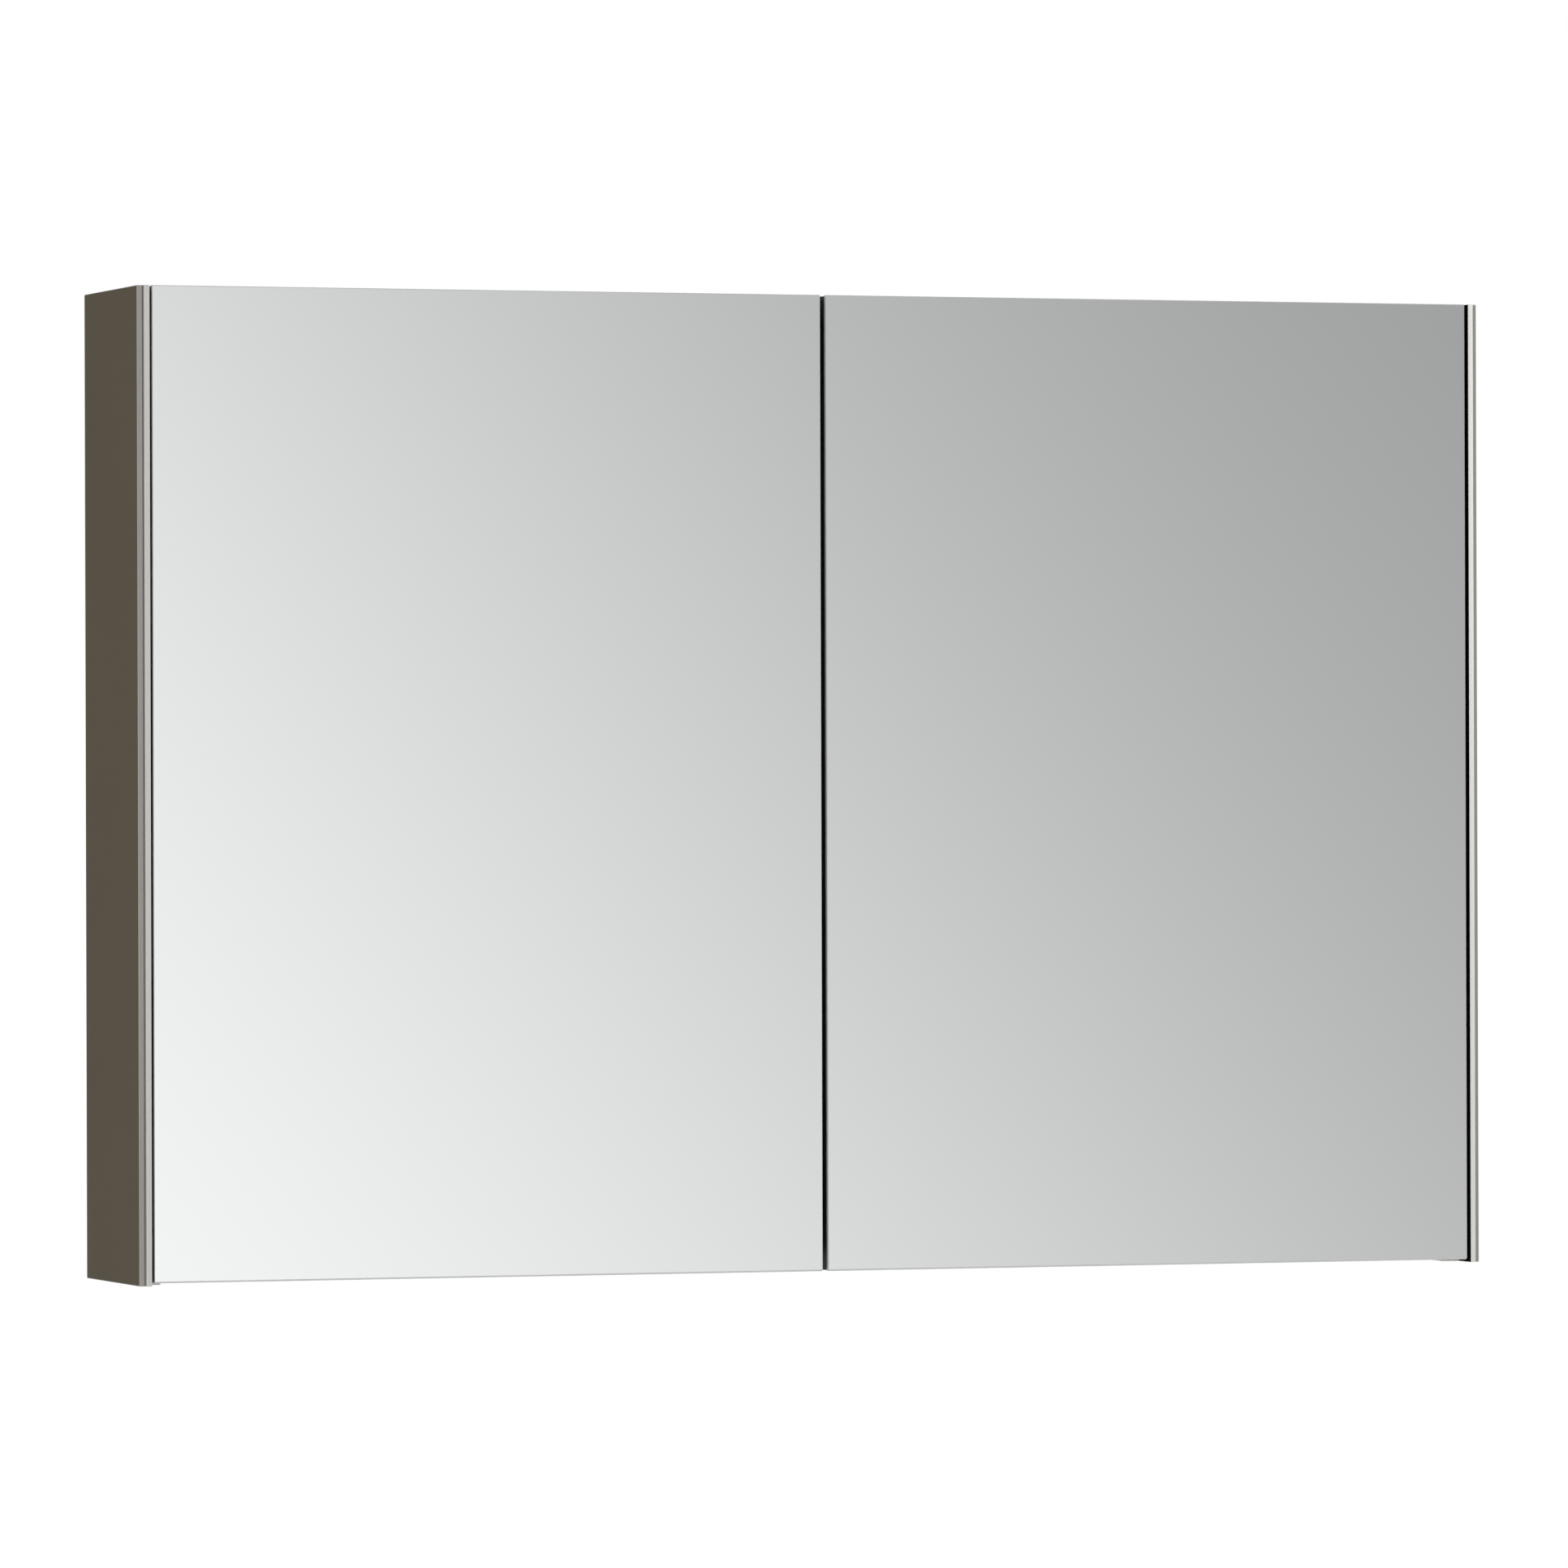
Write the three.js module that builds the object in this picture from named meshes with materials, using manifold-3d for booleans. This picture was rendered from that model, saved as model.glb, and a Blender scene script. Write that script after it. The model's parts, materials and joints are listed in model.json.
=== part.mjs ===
// Wall-hung bathroom cabinet with two mirror doors.
// Millimetres. +X to the viewer's right, +Y into the wall, +Z up.
// The origin is the middle of the cabinet's back, in the plane of the wall.
import * as THREE from 'three';
import { mergeVertices } from 'three/addons/utils/BufferGeometryUtils.js';
import Module from 'manifold-3d';

const wasm = await Module();
wasm.setup();

// ---- Driving dimensions -------------------------------------------------
const WIDTH = 1000; // over the side glasses
const HEIGHT = 690;
const DEPTH = 142; // wall to the front of the side lips
const FIT = 0.3; // gap left between neighbouring pieces

// Sides: a lacquered glass panel bonded to a hollow extrusion with a front lip.
const SIDE_GLASS = 4;
const SIDE_GLASS_SETBACK = 4; // its front edge behind the front of the lip
const PROFILE_START = 4.2; // outer face of the extrusion, in from the side
const LIP_END = 8;
const SIDE_WIDTH = 20; // glass and extrusion together
const CHAMBER_SETBACK = 22; // front of the hollow chamber behind the lip
const CHAMBER_WALL = 2;
const CAP_WALL = 1.5;
const CAP_FACE = 2;
const CAP_SKIRT = 10;

// Doors: mirror, board and inner mirror, hung between the lips.
const DOOR_SETBACK = 1.6; // mirror face behind the front of the lip
const DOOR_SIDE_GAP = 2;
const DOOR_CENTRE_GAP = 4;
const DOOR_LIFT = 2; // lower edge above the bottom of the sides
const MIRROR_THICK = 4;
const DOOR_THICK = 20;
const CORE_INSET = 0.5;
const CUTOUT_START = 2; // hinge cut-outs in a door, in from its outer edge
const LINK_SLOT_END_U = 24;
const NOTCH_END_U = 52; // the inner mirror is notched around the hinge cup
const NOTCH_HALF = 32;
const BUMPER_INSET = 12; // middle of a bumper, in from the door's inner edge
const BUMPER_RADIUS = 4.5;

// Carcass between the sides.
const PANEL_THICK = 16;
const TOP_THICK = 18;
const PANEL_FRONT = -118;
const GRIP_DEPTH = 14; // underside of the bottom panel above the sides' ends
const BACK_THICK = 4;
const BACK_FRONT = -20; // leaves a recess behind it for the wall rail
const PARTITION_FRONT = -112;
const RIB_WIDTH = 60;
const RIB_BELOW_RAIL = 12;
const ACCESS_RADIUS = 7; // holes in the back that a screwdriver reaches the hangers through

// Glass shelves in clip rails.
const SHELF_THICK = 6;
const SHELF_LEVELS = { lower: -112, upper: 94 };
const SHELF_FRONT = -106;
const SHELF_BACK_GAP = 4;
const CLIP_HEIGHT = 10;
const CLIP_WIDTH = 9;
const CLIP_FLOOR = 3.7;
const CLIP_FRONT = -98;
const CLIP_BACK = -30;

// Concealed hinges. In plan, u runs inwards from the outer face of the side.
const HINGE_LEVELS = { lower: -250, upper: 250 };
const CUP_PIVOT = { u: 20, y: -130 }; // link to cup
const ARM_PIVOT = { u: 54, y: -114 }; // link to arm
const CUP_CENTRE = 32.5;
const CUP_RADIUS = 17;
const CUP_INNER = 15.6;
const CUP_FLOOR = -134;
const CUP_BORE_GAP = 0.4;
const FLANGE_BACK = -122.4;
const FLANGE = { width: 34, height: 60, corner: 6, screwZ: 24, screwRadius: 3.6 };
const LINK_HALF = 5; // half its width along Z
const LINK_THICK = 3;
const LINK_SLOT_GAP = 1.2; // play beside the link in the cup and the board
const CUP_KNUCKLE = { radius: 2.1, pinHalf: 10.4 };
const ARM_KNUCKLE = { radius: 2.8, pinHalf: 8.5 };
const PIN_RADIUS = 1.4;
const ARM_HALF = 9;
const ARM_START_U = 26.3; // the arm's face beside the plate
const ARM_DEEP = 7.7;
const ARM_END = -56; // the arm's end towards the wall
const ARM_CRANK = -103; // where it turns inwards
const ARM_FRONT = -112;
const NOSE_RADIUS = 3.8;
const ARM_SCREW = { y: -70, radius: 4, height: 2.6 };
const PLATE_HALF = 20;
const PLATE_THICK = 2.2;
const PLATE_BODY_THICK = 5.7;
const PLATE_SCREW = { y: -80, z: 15.5, radius: 3.8, height: 3.4 };

// Wall rail, hooks and the cases that carry them.
const RAIL_LENGTH = 936;
const RAIL_LOW = 262;
const RAIL_STEP = 300;
const RAIL_TOP = 315.7;
const RAIL_THICK = 1.5;
const RAIL_STAND_OFF = 3.5; // the upper part of the rail stands off the wall
const RAIL_SLOT = { width: 14, height: 7, corner: 3.4, z: 280 };
const RAIL_SLOT_PLACES = [-320, -160, 160, 320];
const HANGER_U = 40; // middle of the hook, in from the side
const HANGER_SCREW_Z = 296;
const HANGER_SHEET = 2;
const HANGER_CASE_LOW = 274;
const HANGER_CHEEK_BACK = -6.5;
const HANGER_SHANK = { radius: 4, end: -12.2 };
const HANGER_HEAD = { radius: 6, height: 3, slotHalf: 4, slotWidth: 1.4, slotDepth: 1.6 };
const HOOK_HALF = 10;
const HOOK_FRONT = -11.5;
const HOOK_LOW = 284;
const HOOK_TIP_Z = RAIL_STEP + 4;

// ---- Values that follow -------------------------------------------------
const HALF = WIDTH / 2;
const TOP = HEIGHT / 2;
const BOTTOM = -TOP;
const FRONT = -DEPTH;
const CHAMBER_FRONT = FRONT + CHAMBER_SETBACK;
const DOOR_FRONT = FRONT + DOOR_SETBACK;
const DOOR_BACK = DOOR_FRONT + DOOR_THICK;
const CORE_FRONT = DOOR_FRONT + MIRROR_THICK + FIT;
const CORE_BACK = DOOR_BACK - MIRROR_THICK - FIT;
const DOOR_U = LIP_END + DOOR_SIDE_GAP;
const DOOR_END_U = HALF - DOOR_CENTRE_GAP / 2;
const DOOR_LOW = BOTTOM + DOOR_LIFT;
const PANEL_HALF = HALF - SIDE_WIDTH - FIT;
const UNDER_TOP = TOP - TOP_THICK;
const BASE_LOW = BOTTOM + GRIP_DEPTH;
const BASE_TOP = BASE_LOW + PANEL_THICK;
const PARTITION_HALF = PANEL_THICK / 2;
const SIDES = { left: -1, right: 1 };

// ---- Materials ----------------------------------------------------------
function finish(color, roughness, metalness) {
  return new THREE.MeshStandardMaterial({ color, roughness, metalness });
}
const mirror = finish(0xd8d8d8, 0.03, 1.0);
const taupeGlass = finish(0x574f44, 0.3, 0.0);
const anodised = finish(0xc4c3c0, 0.38, 0.9);
const greyBoard = finish(0xb9b8b4, 0.5, 0.0);
const darkBoard = finish(0x26262a, 0.6, 0.0);
const clearGlass = finish(0xcfe0dc, 0.05, 0.0);
const nickel = finish(0xb8b6b0, 0.25, 1.0);
const zincSteel = finish(0x9a9c9e, 0.45, 1.0);
const greyPlastic = finish(0x9b9a97, 0.55, 0.0);
const bumperGel = finish(0xdadada, 0.4, 0.0);

// ---- Geometry helpers ---------------------------------------------------
function mesh(name, geometry, material) {
  const piece = new THREE.Mesh(geometry, material);
  piece.name = name;
  return piece;
}

// A block between two opposite corners, as a geometry in place.
function block(x0, x1, y0, y1, z0, z1) {
  const g = new THREE.BoxGeometry(Math.abs(x1 - x0), Math.abs(y1 - y0), Math.abs(z1 - z0));
  return g.translate((x0 + x1) / 2, (y0 + y1) / 2, (z0 + z1) / 2);
}

// A round bar along 'y' or 'z' between two values of that axis.
function bar(axis, a, b, from, to, radius, segments = 20) {
  const g = new THREE.CylinderGeometry(radius, radius, Math.abs(to - from), segments);
  const mid = (from + to) / 2;
  if (axis === 'y') return g.translate(a, mid, b);
  return g.rotateX(Math.PI / 2).translate(a, b, mid);
}

// A plan outline in (u, y), on the given side, drawn up from z0 to z1.
function upright(side, points, z0, z1, holes = []) {
  const place = ([u, y]) => new THREE.Vector2(side * (HALF - u), y);
  const shape = new THREE.Shape(points.map(place));
  holes.forEach((hole) => shape.holes.push(new THREE.Path(hole.map(place))));
  const g = new THREE.ExtrudeGeometry(shape, { depth: z1 - z0, bevelEnabled: false });
  return g.translate(0, 0, z0);
}

// A section in (y, z), drawn along X from x0 to x1.
function lengthwise(points, x0, x1) {
  const shape = new THREE.Shape(points.map(([y, z]) => new THREE.Vector2(y, z)));
  const g = new THREE.ExtrudeGeometry(shape, { depth: x1 - x0, bevelEnabled: false });
  return g.rotateY(Math.PI / 2).rotateX(Math.PI / 2).translate(x0, 0, 0);
}

// A rounded plate facing along Y, centred on (x, z).
function roundedPlate(x, z, width, height, radius, y0, y1) {
  const w = width / 2;
  const h = height / 2;
  const shape = new THREE.Shape();
  shape.moveTo(-w + radius, -h);
  shape.lineTo(w - radius, -h).absarc(w - radius, -h + radius, radius, -Math.PI / 2, 0);
  shape.lineTo(w, h - radius).absarc(w - radius, h - radius, radius, 0, Math.PI / 2);
  shape.lineTo(-w + radius, h).absarc(-w + radius, h - radius, radius, Math.PI / 2, Math.PI);
  shape.lineTo(-w, -h + radius).absarc(-w + radius, -h + radius, radius, Math.PI, 1.5 * Math.PI);
  const g = new THREE.ExtrudeGeometry(shape, { depth: y1 - y0, bevelEnabled: false, curveSegments: 3 });
  return g.rotateX(Math.PI / 2).translate(x, y1, z);
}

function solid(geometry) {
  const plain = geometry.clone();
  plain.deleteAttribute('normal');
  plain.deleteAttribute('uv');
  const merged = mergeVertices(plain, 1e-4);
  const vertProperties = new Float32Array(merged.attributes.position.array);
  const triVerts = new Uint32Array(merged.index.array);
  return new wasm.Manifold(new wasm.Mesh({ numProp: 3, vertProperties, triVerts }));
}

function geometryOf(body) {
  const out = body.getMesh();
  const g = new THREE.BufferGeometry();
  g.setAttribute('position', new THREE.BufferAttribute(new Float32Array(out.vertProperties), 3));
  g.setIndex(new THREE.BufferAttribute(new Uint32Array(out.triVerts), 1));
  g.computeVertexNormals();
  return g;
}

function joined(first, adds, cuts = []) {
  let body = solid(first);
  adds.forEach((g) => { body = body.add(solid(g)); });
  cuts.forEach((g) => { body = body.subtract(solid(g)); });
  return geometryOf(body);
}

// ---- Sides --------------------------------------------------------------
function sideGlass(name, s) {
  const g = block(s * HALF, s * (HALF - SIDE_GLASS), FRONT + SIDE_GLASS_SETBACK, 0, BOTTOM, TOP);
  return mesh(`${name}_side_glass`, g, taupeGlass);
}

function sideProfile(name, s) {
  const outline = [
    [PROFILE_START, FRONT], [LIP_END, FRONT], [LIP_END, CHAMBER_FRONT],
    [SIDE_WIDTH, CHAMBER_FRONT], [SIDE_WIDTH, 0], [PROFILE_START, 0],
  ];
  const u0 = PROFILE_START + CHAMBER_WALL;
  const u1 = SIDE_WIDTH - CHAMBER_WALL;
  const y0 = CHAMBER_FRONT + CHAMBER_WALL;
  const chamber = [[u0, y0], [u0, -CHAMBER_WALL], [u1, -CHAMBER_WALL], [u1, y0]];
  return mesh(`${name}_side_profile`, upright(s, outline, BOTTOM, TOP, [chamber]), anodised);
}

// A hollow plug that closes one end of the extrusion's chamber.
function profileCap(name, s, end) {
  const inset = CHAMBER_WALL + FIT;
  const u0 = PROFILE_START + inset;
  const u1 = SIDE_WIDTH - inset;
  const y0 = CHAMBER_FRONT + inset;
  const face = end === 'top' ? TOP : BOTTOM;
  const inwards = end === 'top' ? -1 : 1;
  const x0 = s * (HALF - u0);
  const x1 = s * (HALF - u1);
  const outer = block(x0, x1, y0, -inset, face, face + inwards * CAP_SKIRT);
  const inner = block(x0 - s * CAP_WALL, x1 + s * CAP_WALL, y0 + CAP_WALL, -inset - CAP_WALL,
    face + inwards * CAP_FACE, face + inwards * (CAP_SKIRT + 1));
  return mesh(`${name}_profile_cap_${end}`, joined(outer, [], [inner]), greyPlastic);
}

// ---- Carcass ------------------------------------------------------------
function carcass() {
  const backLow = BASE_TOP + FIT;
  const backTop = UNDER_TOP - FIT;
  const accessHoles = Object.values(SIDES).map((s) => (
    bar('y', s * (HALF - HANGER_U), HANGER_SCREW_Z, BACK_FRONT - 1, 0, ACCESS_RADIUS)));
  const backBlock = block(-PANEL_HALF, PANEL_HALF, BACK_FRONT, BACK_FRONT + BACK_THICK, backLow, backTop);
  return [
    mesh('top_panel', block(-PANEL_HALF, PANEL_HALF, PANEL_FRONT, 0, UNDER_TOP, TOP), greyBoard),
    mesh('bottom_panel', block(-PANEL_HALF, PANEL_HALF, PANEL_FRONT, 0, BASE_LOW, BASE_TOP), greyBoard),
    mesh('back_panel', joined(backBlock, [], accessHoles), greyBoard),
    mesh('centre_partition', block(-PARTITION_HALF, PARTITION_HALF, PARTITION_FRONT,
      BACK_FRONT - FIT, backLow, backTop), greyBoard),
    mesh('back_rib', block(-RIB_WIDTH / 2, RIB_WIDTH / 2, BACK_FRONT + BACK_THICK + FIT, 0,
      backLow, RAIL_LOW - RIB_BELOW_RAIL), greyBoard),
  ];
}

// ---- Shelves ------------------------------------------------------------
// A clip rail with a groove; wall is the |x| of the face that it is fixed to,
// and inwards says which way its open side looks.
function clipRail(name, s, level, wall, inwards) {
  const foot = wall + inwards * FIT;
  const tip = foot + inwards * CLIP_WIDTH;
  const floor = foot + inwards * CLIP_FLOOR;
  const half = CLIP_HEIGHT / 2;
  const groove = SHELF_THICK / 2 + FIT;
  const body = block(s * foot, s * tip, CLIP_FRONT, CLIP_BACK, level - half, level + half);
  const slot = block(s * floor, s * (tip + inwards), CLIP_FRONT - 1, CLIP_BACK + 1,
    level - groove, level + groove);
  return mesh(name, joined(body, [], [slot]), anodised);
}

function shelfSet(name, s, levelName, level) {
  const wallFace = HALF - SIDE_WIDTH;
  const reach = FIT + CLIP_FLOOR + FIT;
  const g = block(s * (wallFace - reach), s * (PARTITION_HALF + reach), SHELF_FRONT,
    BACK_FRONT - SHELF_BACK_GAP, level - SHELF_THICK / 2, level + SHELF_THICK / 2);
  return [
    mesh(`${name}_${levelName}_shelf`, g, clearGlass),
    clipRail(`${name}_${levelName}_shelf_clip_outer`, s, level, wallFace, -1),
    clipRail(`${name}_${levelName}_shelf_clip_inner`, s, level, PARTITION_HALF, 1),
  ];
}

// ---- Doors --------------------------------------------------------------
function door(name, s) {
  const x0 = s * (HALF - DOOR_U);
  const x1 = s * (HALF - DOOR_END_U);
  const cupX = s * (HALF - CUP_CENTRE);
  const cutX = s * (HALF - DOOR_U + CUTOUT_START);
  const slotHalf = LINK_HALF + LINK_SLOT_GAP + 0.2;
  const bores = [];
  const slots = [];
  const notches = [];
  Object.values(HINGE_LEVELS).forEach((z) => {
    bores.push(bar('y', cupX, z, CUP_FLOOR - CUP_BORE_GAP, DOOR_BACK + 1, CUP_RADIUS + CUP_BORE_GAP, 24));
    slots.push(block(cutX, s * (HALF - LINK_SLOT_END_U), CUP_PIVOT.y - 0.5, DOOR_BACK + 1,
      z - slotHalf, z + slotHalf));
    notches.push(block(cutX, s * (HALF - NOTCH_END_U), CORE_BACK - 1, DOOR_BACK + 1,
      z - NOTCH_HALF, z + NOTCH_HALF));
  });
  const coreBlock = block(x0 - s * CORE_INSET, x1 + s * CORE_INSET, CORE_FRONT, CORE_BACK,
    DOOR_LOW + CORE_INSET, TOP - CORE_INSET);
  const backMirror = block(x0, x1, DOOR_BACK - MIRROR_THICK, DOOR_BACK, DOOR_LOW, TOP);
  const pieces = [
    mesh(`${name}_door_mirror`,
      block(x0, x1, DOOR_FRONT, DOOR_FRONT + MIRROR_THICK, DOOR_LOW, TOP), mirror),
    mesh(`${name}_door_core`, joined(coreBlock, [], [...bores, ...slots]), darkBoard),
    mesh(`${name}_door_inner_mirror`, joined(backMirror, [], notches), mirror),
  ];
  const bumperLevels = { top: TOP - TOP_THICK / 2, bottom: (BASE_LOW + BASE_TOP) / 2 };
  Object.entries(bumperLevels).forEach(([end, z]) => {
    const x = s * (DOOR_CENTRE_GAP / 2 + BUMPER_INSET);
    const g = bar('y', x, z, DOOR_BACK + 0.1, PANEL_FRONT - 0.2, BUMPER_RADIUS);
    pieces.push(mesh(`${name}_door_bumper_${end}`, g, bumperGel));
  });
  return pieces;
}

// ---- Hinges -------------------------------------------------------------
// The cup: a round pan with a flange, pin holes in its wall and a slot
// towards the door's edge for the link to swing through.
function hingeCup(tag, s, z) {
  const x = s * (HALF - CUP_CENTRE);
  const pivotX = s * (HALF - CUP_PIVOT.u);
  const pan = bar('y', x, z, CUP_FLOOR, CORE_BACK + 0.2, CUP_RADIUS, 24);
  const flange = roundedPlate(x, z, FLANGE.width, FLANGE.height, FLANGE.corner, CORE_BACK + 0.1, FLANGE_BACK);
  const hollow = bar('y', x, z, CUP_FLOOR + 1, FLANGE_BACK + 1, CUP_INNER, 24);
  const pinReach = CUP_KNUCKLE.pinHalf + 0.8;
  const pinHole = bar('z', pivotX, CUP_PIVOT.y, z - pinReach, z + pinReach, PIN_RADIUS + FIT, 12);
  const slot = block(s * (HALF - 8), pivotX, CUP_PIVOT.y - 0.5, FLANGE_BACK + 1,
    z - LINK_HALF - LINK_SLOT_GAP, z + LINK_HALF + LINK_SLOT_GAP);
  const screws = [-FLANGE.screwZ, FLANGE.screwZ].map((dz) => (
    bar('y', x, z + dz, FLANGE_BACK - 0.5, FLANGE_BACK + 1.2, FLANGE.screwRadius, 12)));
  return mesh(`${tag}_hinge_cup`, joined(pan, [flange, ...screws], [hollow, pinHole, slot]), nickel);
}

// The link: a flat bar with a knuckle and a cross pin at each end.
function hingeLink(tag, s, z) {
  const from = new THREE.Vector2(CUP_PIVOT.u, CUP_PIVOT.y);
  const to = new THREE.Vector2(ARM_PIVOT.u, ARM_PIVOT.y);
  const along = to.clone().sub(from).normalize();
  const across = new THREE.Vector2(-along.y, along.x).multiplyScalar(LINK_THICK / 2);
  const outline = [
    from.clone().add(across), to.clone().add(across),
    to.clone().sub(across), from.clone().sub(across),
  ].map((p) => [p.x, p.y]);
  const parts = [];
  [[from, CUP_KNUCKLE], [to, ARM_KNUCKLE]].forEach(([p, { radius, pinHalf }]) => {
    const x = s * (HALF - p.x);
    parts.push(bar('z', x, p.y, z - LINK_HALF, z + LINK_HALF, radius, 14));
    parts.push(bar('z', x, p.y, z - pinHalf, z + pinHalf, PIN_RADIUS, 12));
  });
  const g = joined(upright(s, outline, z - LINK_HALF, z + LINK_HALF), parts);
  return mesh(`${tag}_hinge_link`, g, nickel);
}

// The arm: fixed along the side, cranked inwards to a forked nose.
function hingeArm(tag, s, z) {
  const inner = ARM_START_U + ARM_DEEP;
  const bend = 3.5; // the chamfers of the crank
  const noseBack = ARM_CRANK - bend;
  const outline = [
    [ARM_START_U, ARM_END], [inner, ARM_END], [inner, ARM_CRANK], [inner + bend, noseBack],
    [ARM_PIVOT.u + 1, noseBack], [ARM_PIVOT.u + NOSE_RADIUS, noseBack - 3],
    [ARM_PIVOT.u + NOSE_RADIUS, ARM_PIVOT.y], [ARM_PIVOT.u - NOSE_RADIUS, ARM_PIVOT.y],
    [ARM_PIVOT.u - NOSE_RADIUS, ARM_FRONT], [ARM_START_U + 4, ARM_FRONT],
    [ARM_START_U, ARM_FRONT + 4],
  ];
  const x = s * (HALF - ARM_PIVOT.u);
  const nose = bar('z', x, ARM_PIVOT.y, z - ARM_HALF, z + ARM_HALF, NOSE_RADIUS, 16);
  const fork = block(x + s * 7, x - s * 6, ARM_PIVOT.y - 5, ARM_PIVOT.y + 4.4,
    z - LINK_HALF - 0.5, z + LINK_HALF + 0.5);
  const pinHole = bar('z', x, ARM_PIVOT.y, z - ARM_HALF - 1, z + ARM_HALF + 1, PIN_RADIUS + FIT, 12);
  const head = new THREE.CylinderGeometry(ARM_SCREW.radius, ARM_SCREW.radius, ARM_SCREW.height, 12)
    .rotateZ(Math.PI / 2).translate(s * (HALF - inner - 0.3), ARM_SCREW.y, z);
  const g = joined(upright(s, outline, z - ARM_HALF, z + ARM_HALF), [nose, head], [fork, pinHole]);
  return mesh(`${tag}_hinge_arm`, g, nickel);
}

// The plate that the arm clips to, with its two fixing screws.
function hingePlate(tag, s, z) {
  const x0 = s * (HALF - SIDE_WIDTH - FIT);
  const x1 = x0 - s * PLATE_THICK;
  const x2 = x0 - s * PLATE_BODY_THICK;
  const wings = block(x0, x1, -94, -66, z - PLATE_HALF, z + PLATE_HALF);
  const body = block(x0, x2, -108, -54, z - ARM_HALF - 1, z + ARM_HALF + 1);
  const { radius, height } = PLATE_SCREW;
  const heads = [-PLATE_SCREW.z, PLATE_SCREW.z].map((dz) => (
    new THREE.CylinderGeometry(radius, radius, height, 12)
      .rotateZ(Math.PI / 2).translate(x1 - s * 0.6, PLATE_SCREW.y, z + dz)));
  return mesh(`${tag}_hinge_plate`, joined(body, [wings, ...heads]), nickel);
}

// ---- Wall hanging -------------------------------------------------------
// A U-shaped case behind the back panel, fixed to the side.
function hangerCase(name, s) {
  const near = SIDE_WIDTH + FIT;
  const far = 2 * HANGER_U - near;
  const y0 = BACK_FRONT + BACK_THICK + FIT;
  const x0 = s * (HALF - near);
  const x1 = s * (HALF - far);
  const high = UNDER_TOP - 2;
  const base = block(x0, x1, y0, y0 + HANGER_SHEET, HANGER_CASE_LOW, high);
  const cheeks = [
    block(x0, x0 - s * HANGER_SHEET, y0, HANGER_CHEEK_BACK, HANGER_CASE_LOW, high),
    block(x1, x1 + s * HANGER_SHEET, y0, HANGER_CHEEK_BACK, HANGER_CASE_LOW, high),
  ];
  const hole = bar('y', s * (HALF - HANGER_U), HANGER_SCREW_Z, y0 - 1, y0 + 3, HANGER_SHANK.radius + 0.4);
  return mesh(`${name}_hanger_case`, joined(base, cheeks, [hole]), zincSteel);
}

function hangerScrew(name, s) {
  const x = s * (HALF - HANGER_U);
  const z = HANGER_SCREW_Z;
  const y0 = BACK_FRONT + 1;
  const { radius, height, slotHalf, slotWidth, slotDepth } = HANGER_HEAD;
  const shank = bar('y', x, z, y0 + 1, HANGER_SHANK.end, HANGER_SHANK.radius, 14);
  const head = bar('y', x, z, y0, y0 + height, radius, 16);
  const w = slotWidth / 2;
  const slotA = block(x - slotHalf, x + slotHalf, y0 - 1, y0 + slotDepth, z - w, z + w);
  const slotB = block(x - w, x + w, y0 - 1, y0 + slotDepth, z - slotHalf, z + slotHalf);
  return mesh(`${name}_hanger_screw`, joined(shank, [head], [slotA, slotB]), zincSteel);
}

// A bent plate that drops over the lip of the wall rail.
function hangerHook(name, s) {
  const x = s * (HALF - HANGER_U);
  const top = RAIL_TOP + FIT;
  const t = HANGER_SHEET;
  const tip = -1;
  const section = [
    [HOOK_FRONT, HOOK_LOW], [HOOK_FRONT + t, HOOK_LOW], [HOOK_FRONT + t, top], [tip - t, top],
    [tip - t, HOOK_TIP_Z], [tip, HOOK_TIP_Z], [tip, top + t], [HOOK_FRONT, top + t],
  ];
  const g = lengthwise(section, x - HOOK_HALF, x + HOOK_HALF);
  return mesh(`${name}_hanger_hook`, g, zincSteel);
}

function wallRail() {
  const t = RAIL_THICK;
  const out = -RAIL_STAND_OFF;
  const section = [
    [0, RAIL_LOW], [0, RAIL_STEP - 1.5], [out, RAIL_STEP], [out, RAIL_TOP], [out - t, RAIL_TOP],
    [out - t, RAIL_STEP - 1.5], [-t, RAIL_STEP - 3], [-t, RAIL_LOW],
  ];
  const strip = lengthwise(section, -RAIL_LENGTH / 2, RAIL_LENGTH / 2);
  const { width, height, corner, z } = RAIL_SLOT;
  const holes = RAIL_SLOT_PLACES.map((x) => roundedPlate(x, z, width, height, corner, -3, 1));
  return mesh('wall_rail', joined(strip, [], holes), zincSteel);
}

// ---- Assembly -----------------------------------------------------------
const cabinet = new THREE.Group();
cabinet.add(...carcass());
Object.entries(SIDES).forEach(([name, s]) => {
  const side = new THREE.Group();
  side.add(sideGlass(name, s), sideProfile(name, s));
  side.add(profileCap(name, s, 'top'), profileCap(name, s, 'bottom'));
  side.add(hangerCase(name, s), hangerScrew(name, s), hangerHook(name, s));
  Object.entries(SHELF_LEVELS).forEach(([levelName, z]) => side.add(...shelfSet(name, s, levelName, z)));
  side.add(...door(name, s));
  Object.entries(HINGE_LEVELS).forEach(([levelName, z]) => {
    const tag = `${name}_${levelName}`;
    side.add(hingeCup(tag, s, z), hingeLink(tag, s, z), hingeArm(tag, s, z), hingePlate(tag, s, z));
  });
  cabinet.add(side);
});
cabinet.add(wallRail());

export default cabinet;
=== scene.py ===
# %% [markdown]
# # A wall-hung mirror cabinet
#
# The cabinet hangs on a wall: two mirror doors close it flush, side panels of taupe lacquered
# glass cover slim aluminium profiles, and the hinges and hanging fittings are hidden. The
# measured frame is loaded first, and every piece takes its place from it. Units are metres, with
# X to the viewer's right, Y into the wall and Z up.

# %% The frame
import json
import math

import bpy
from mathutils import Matrix, Vector


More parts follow.
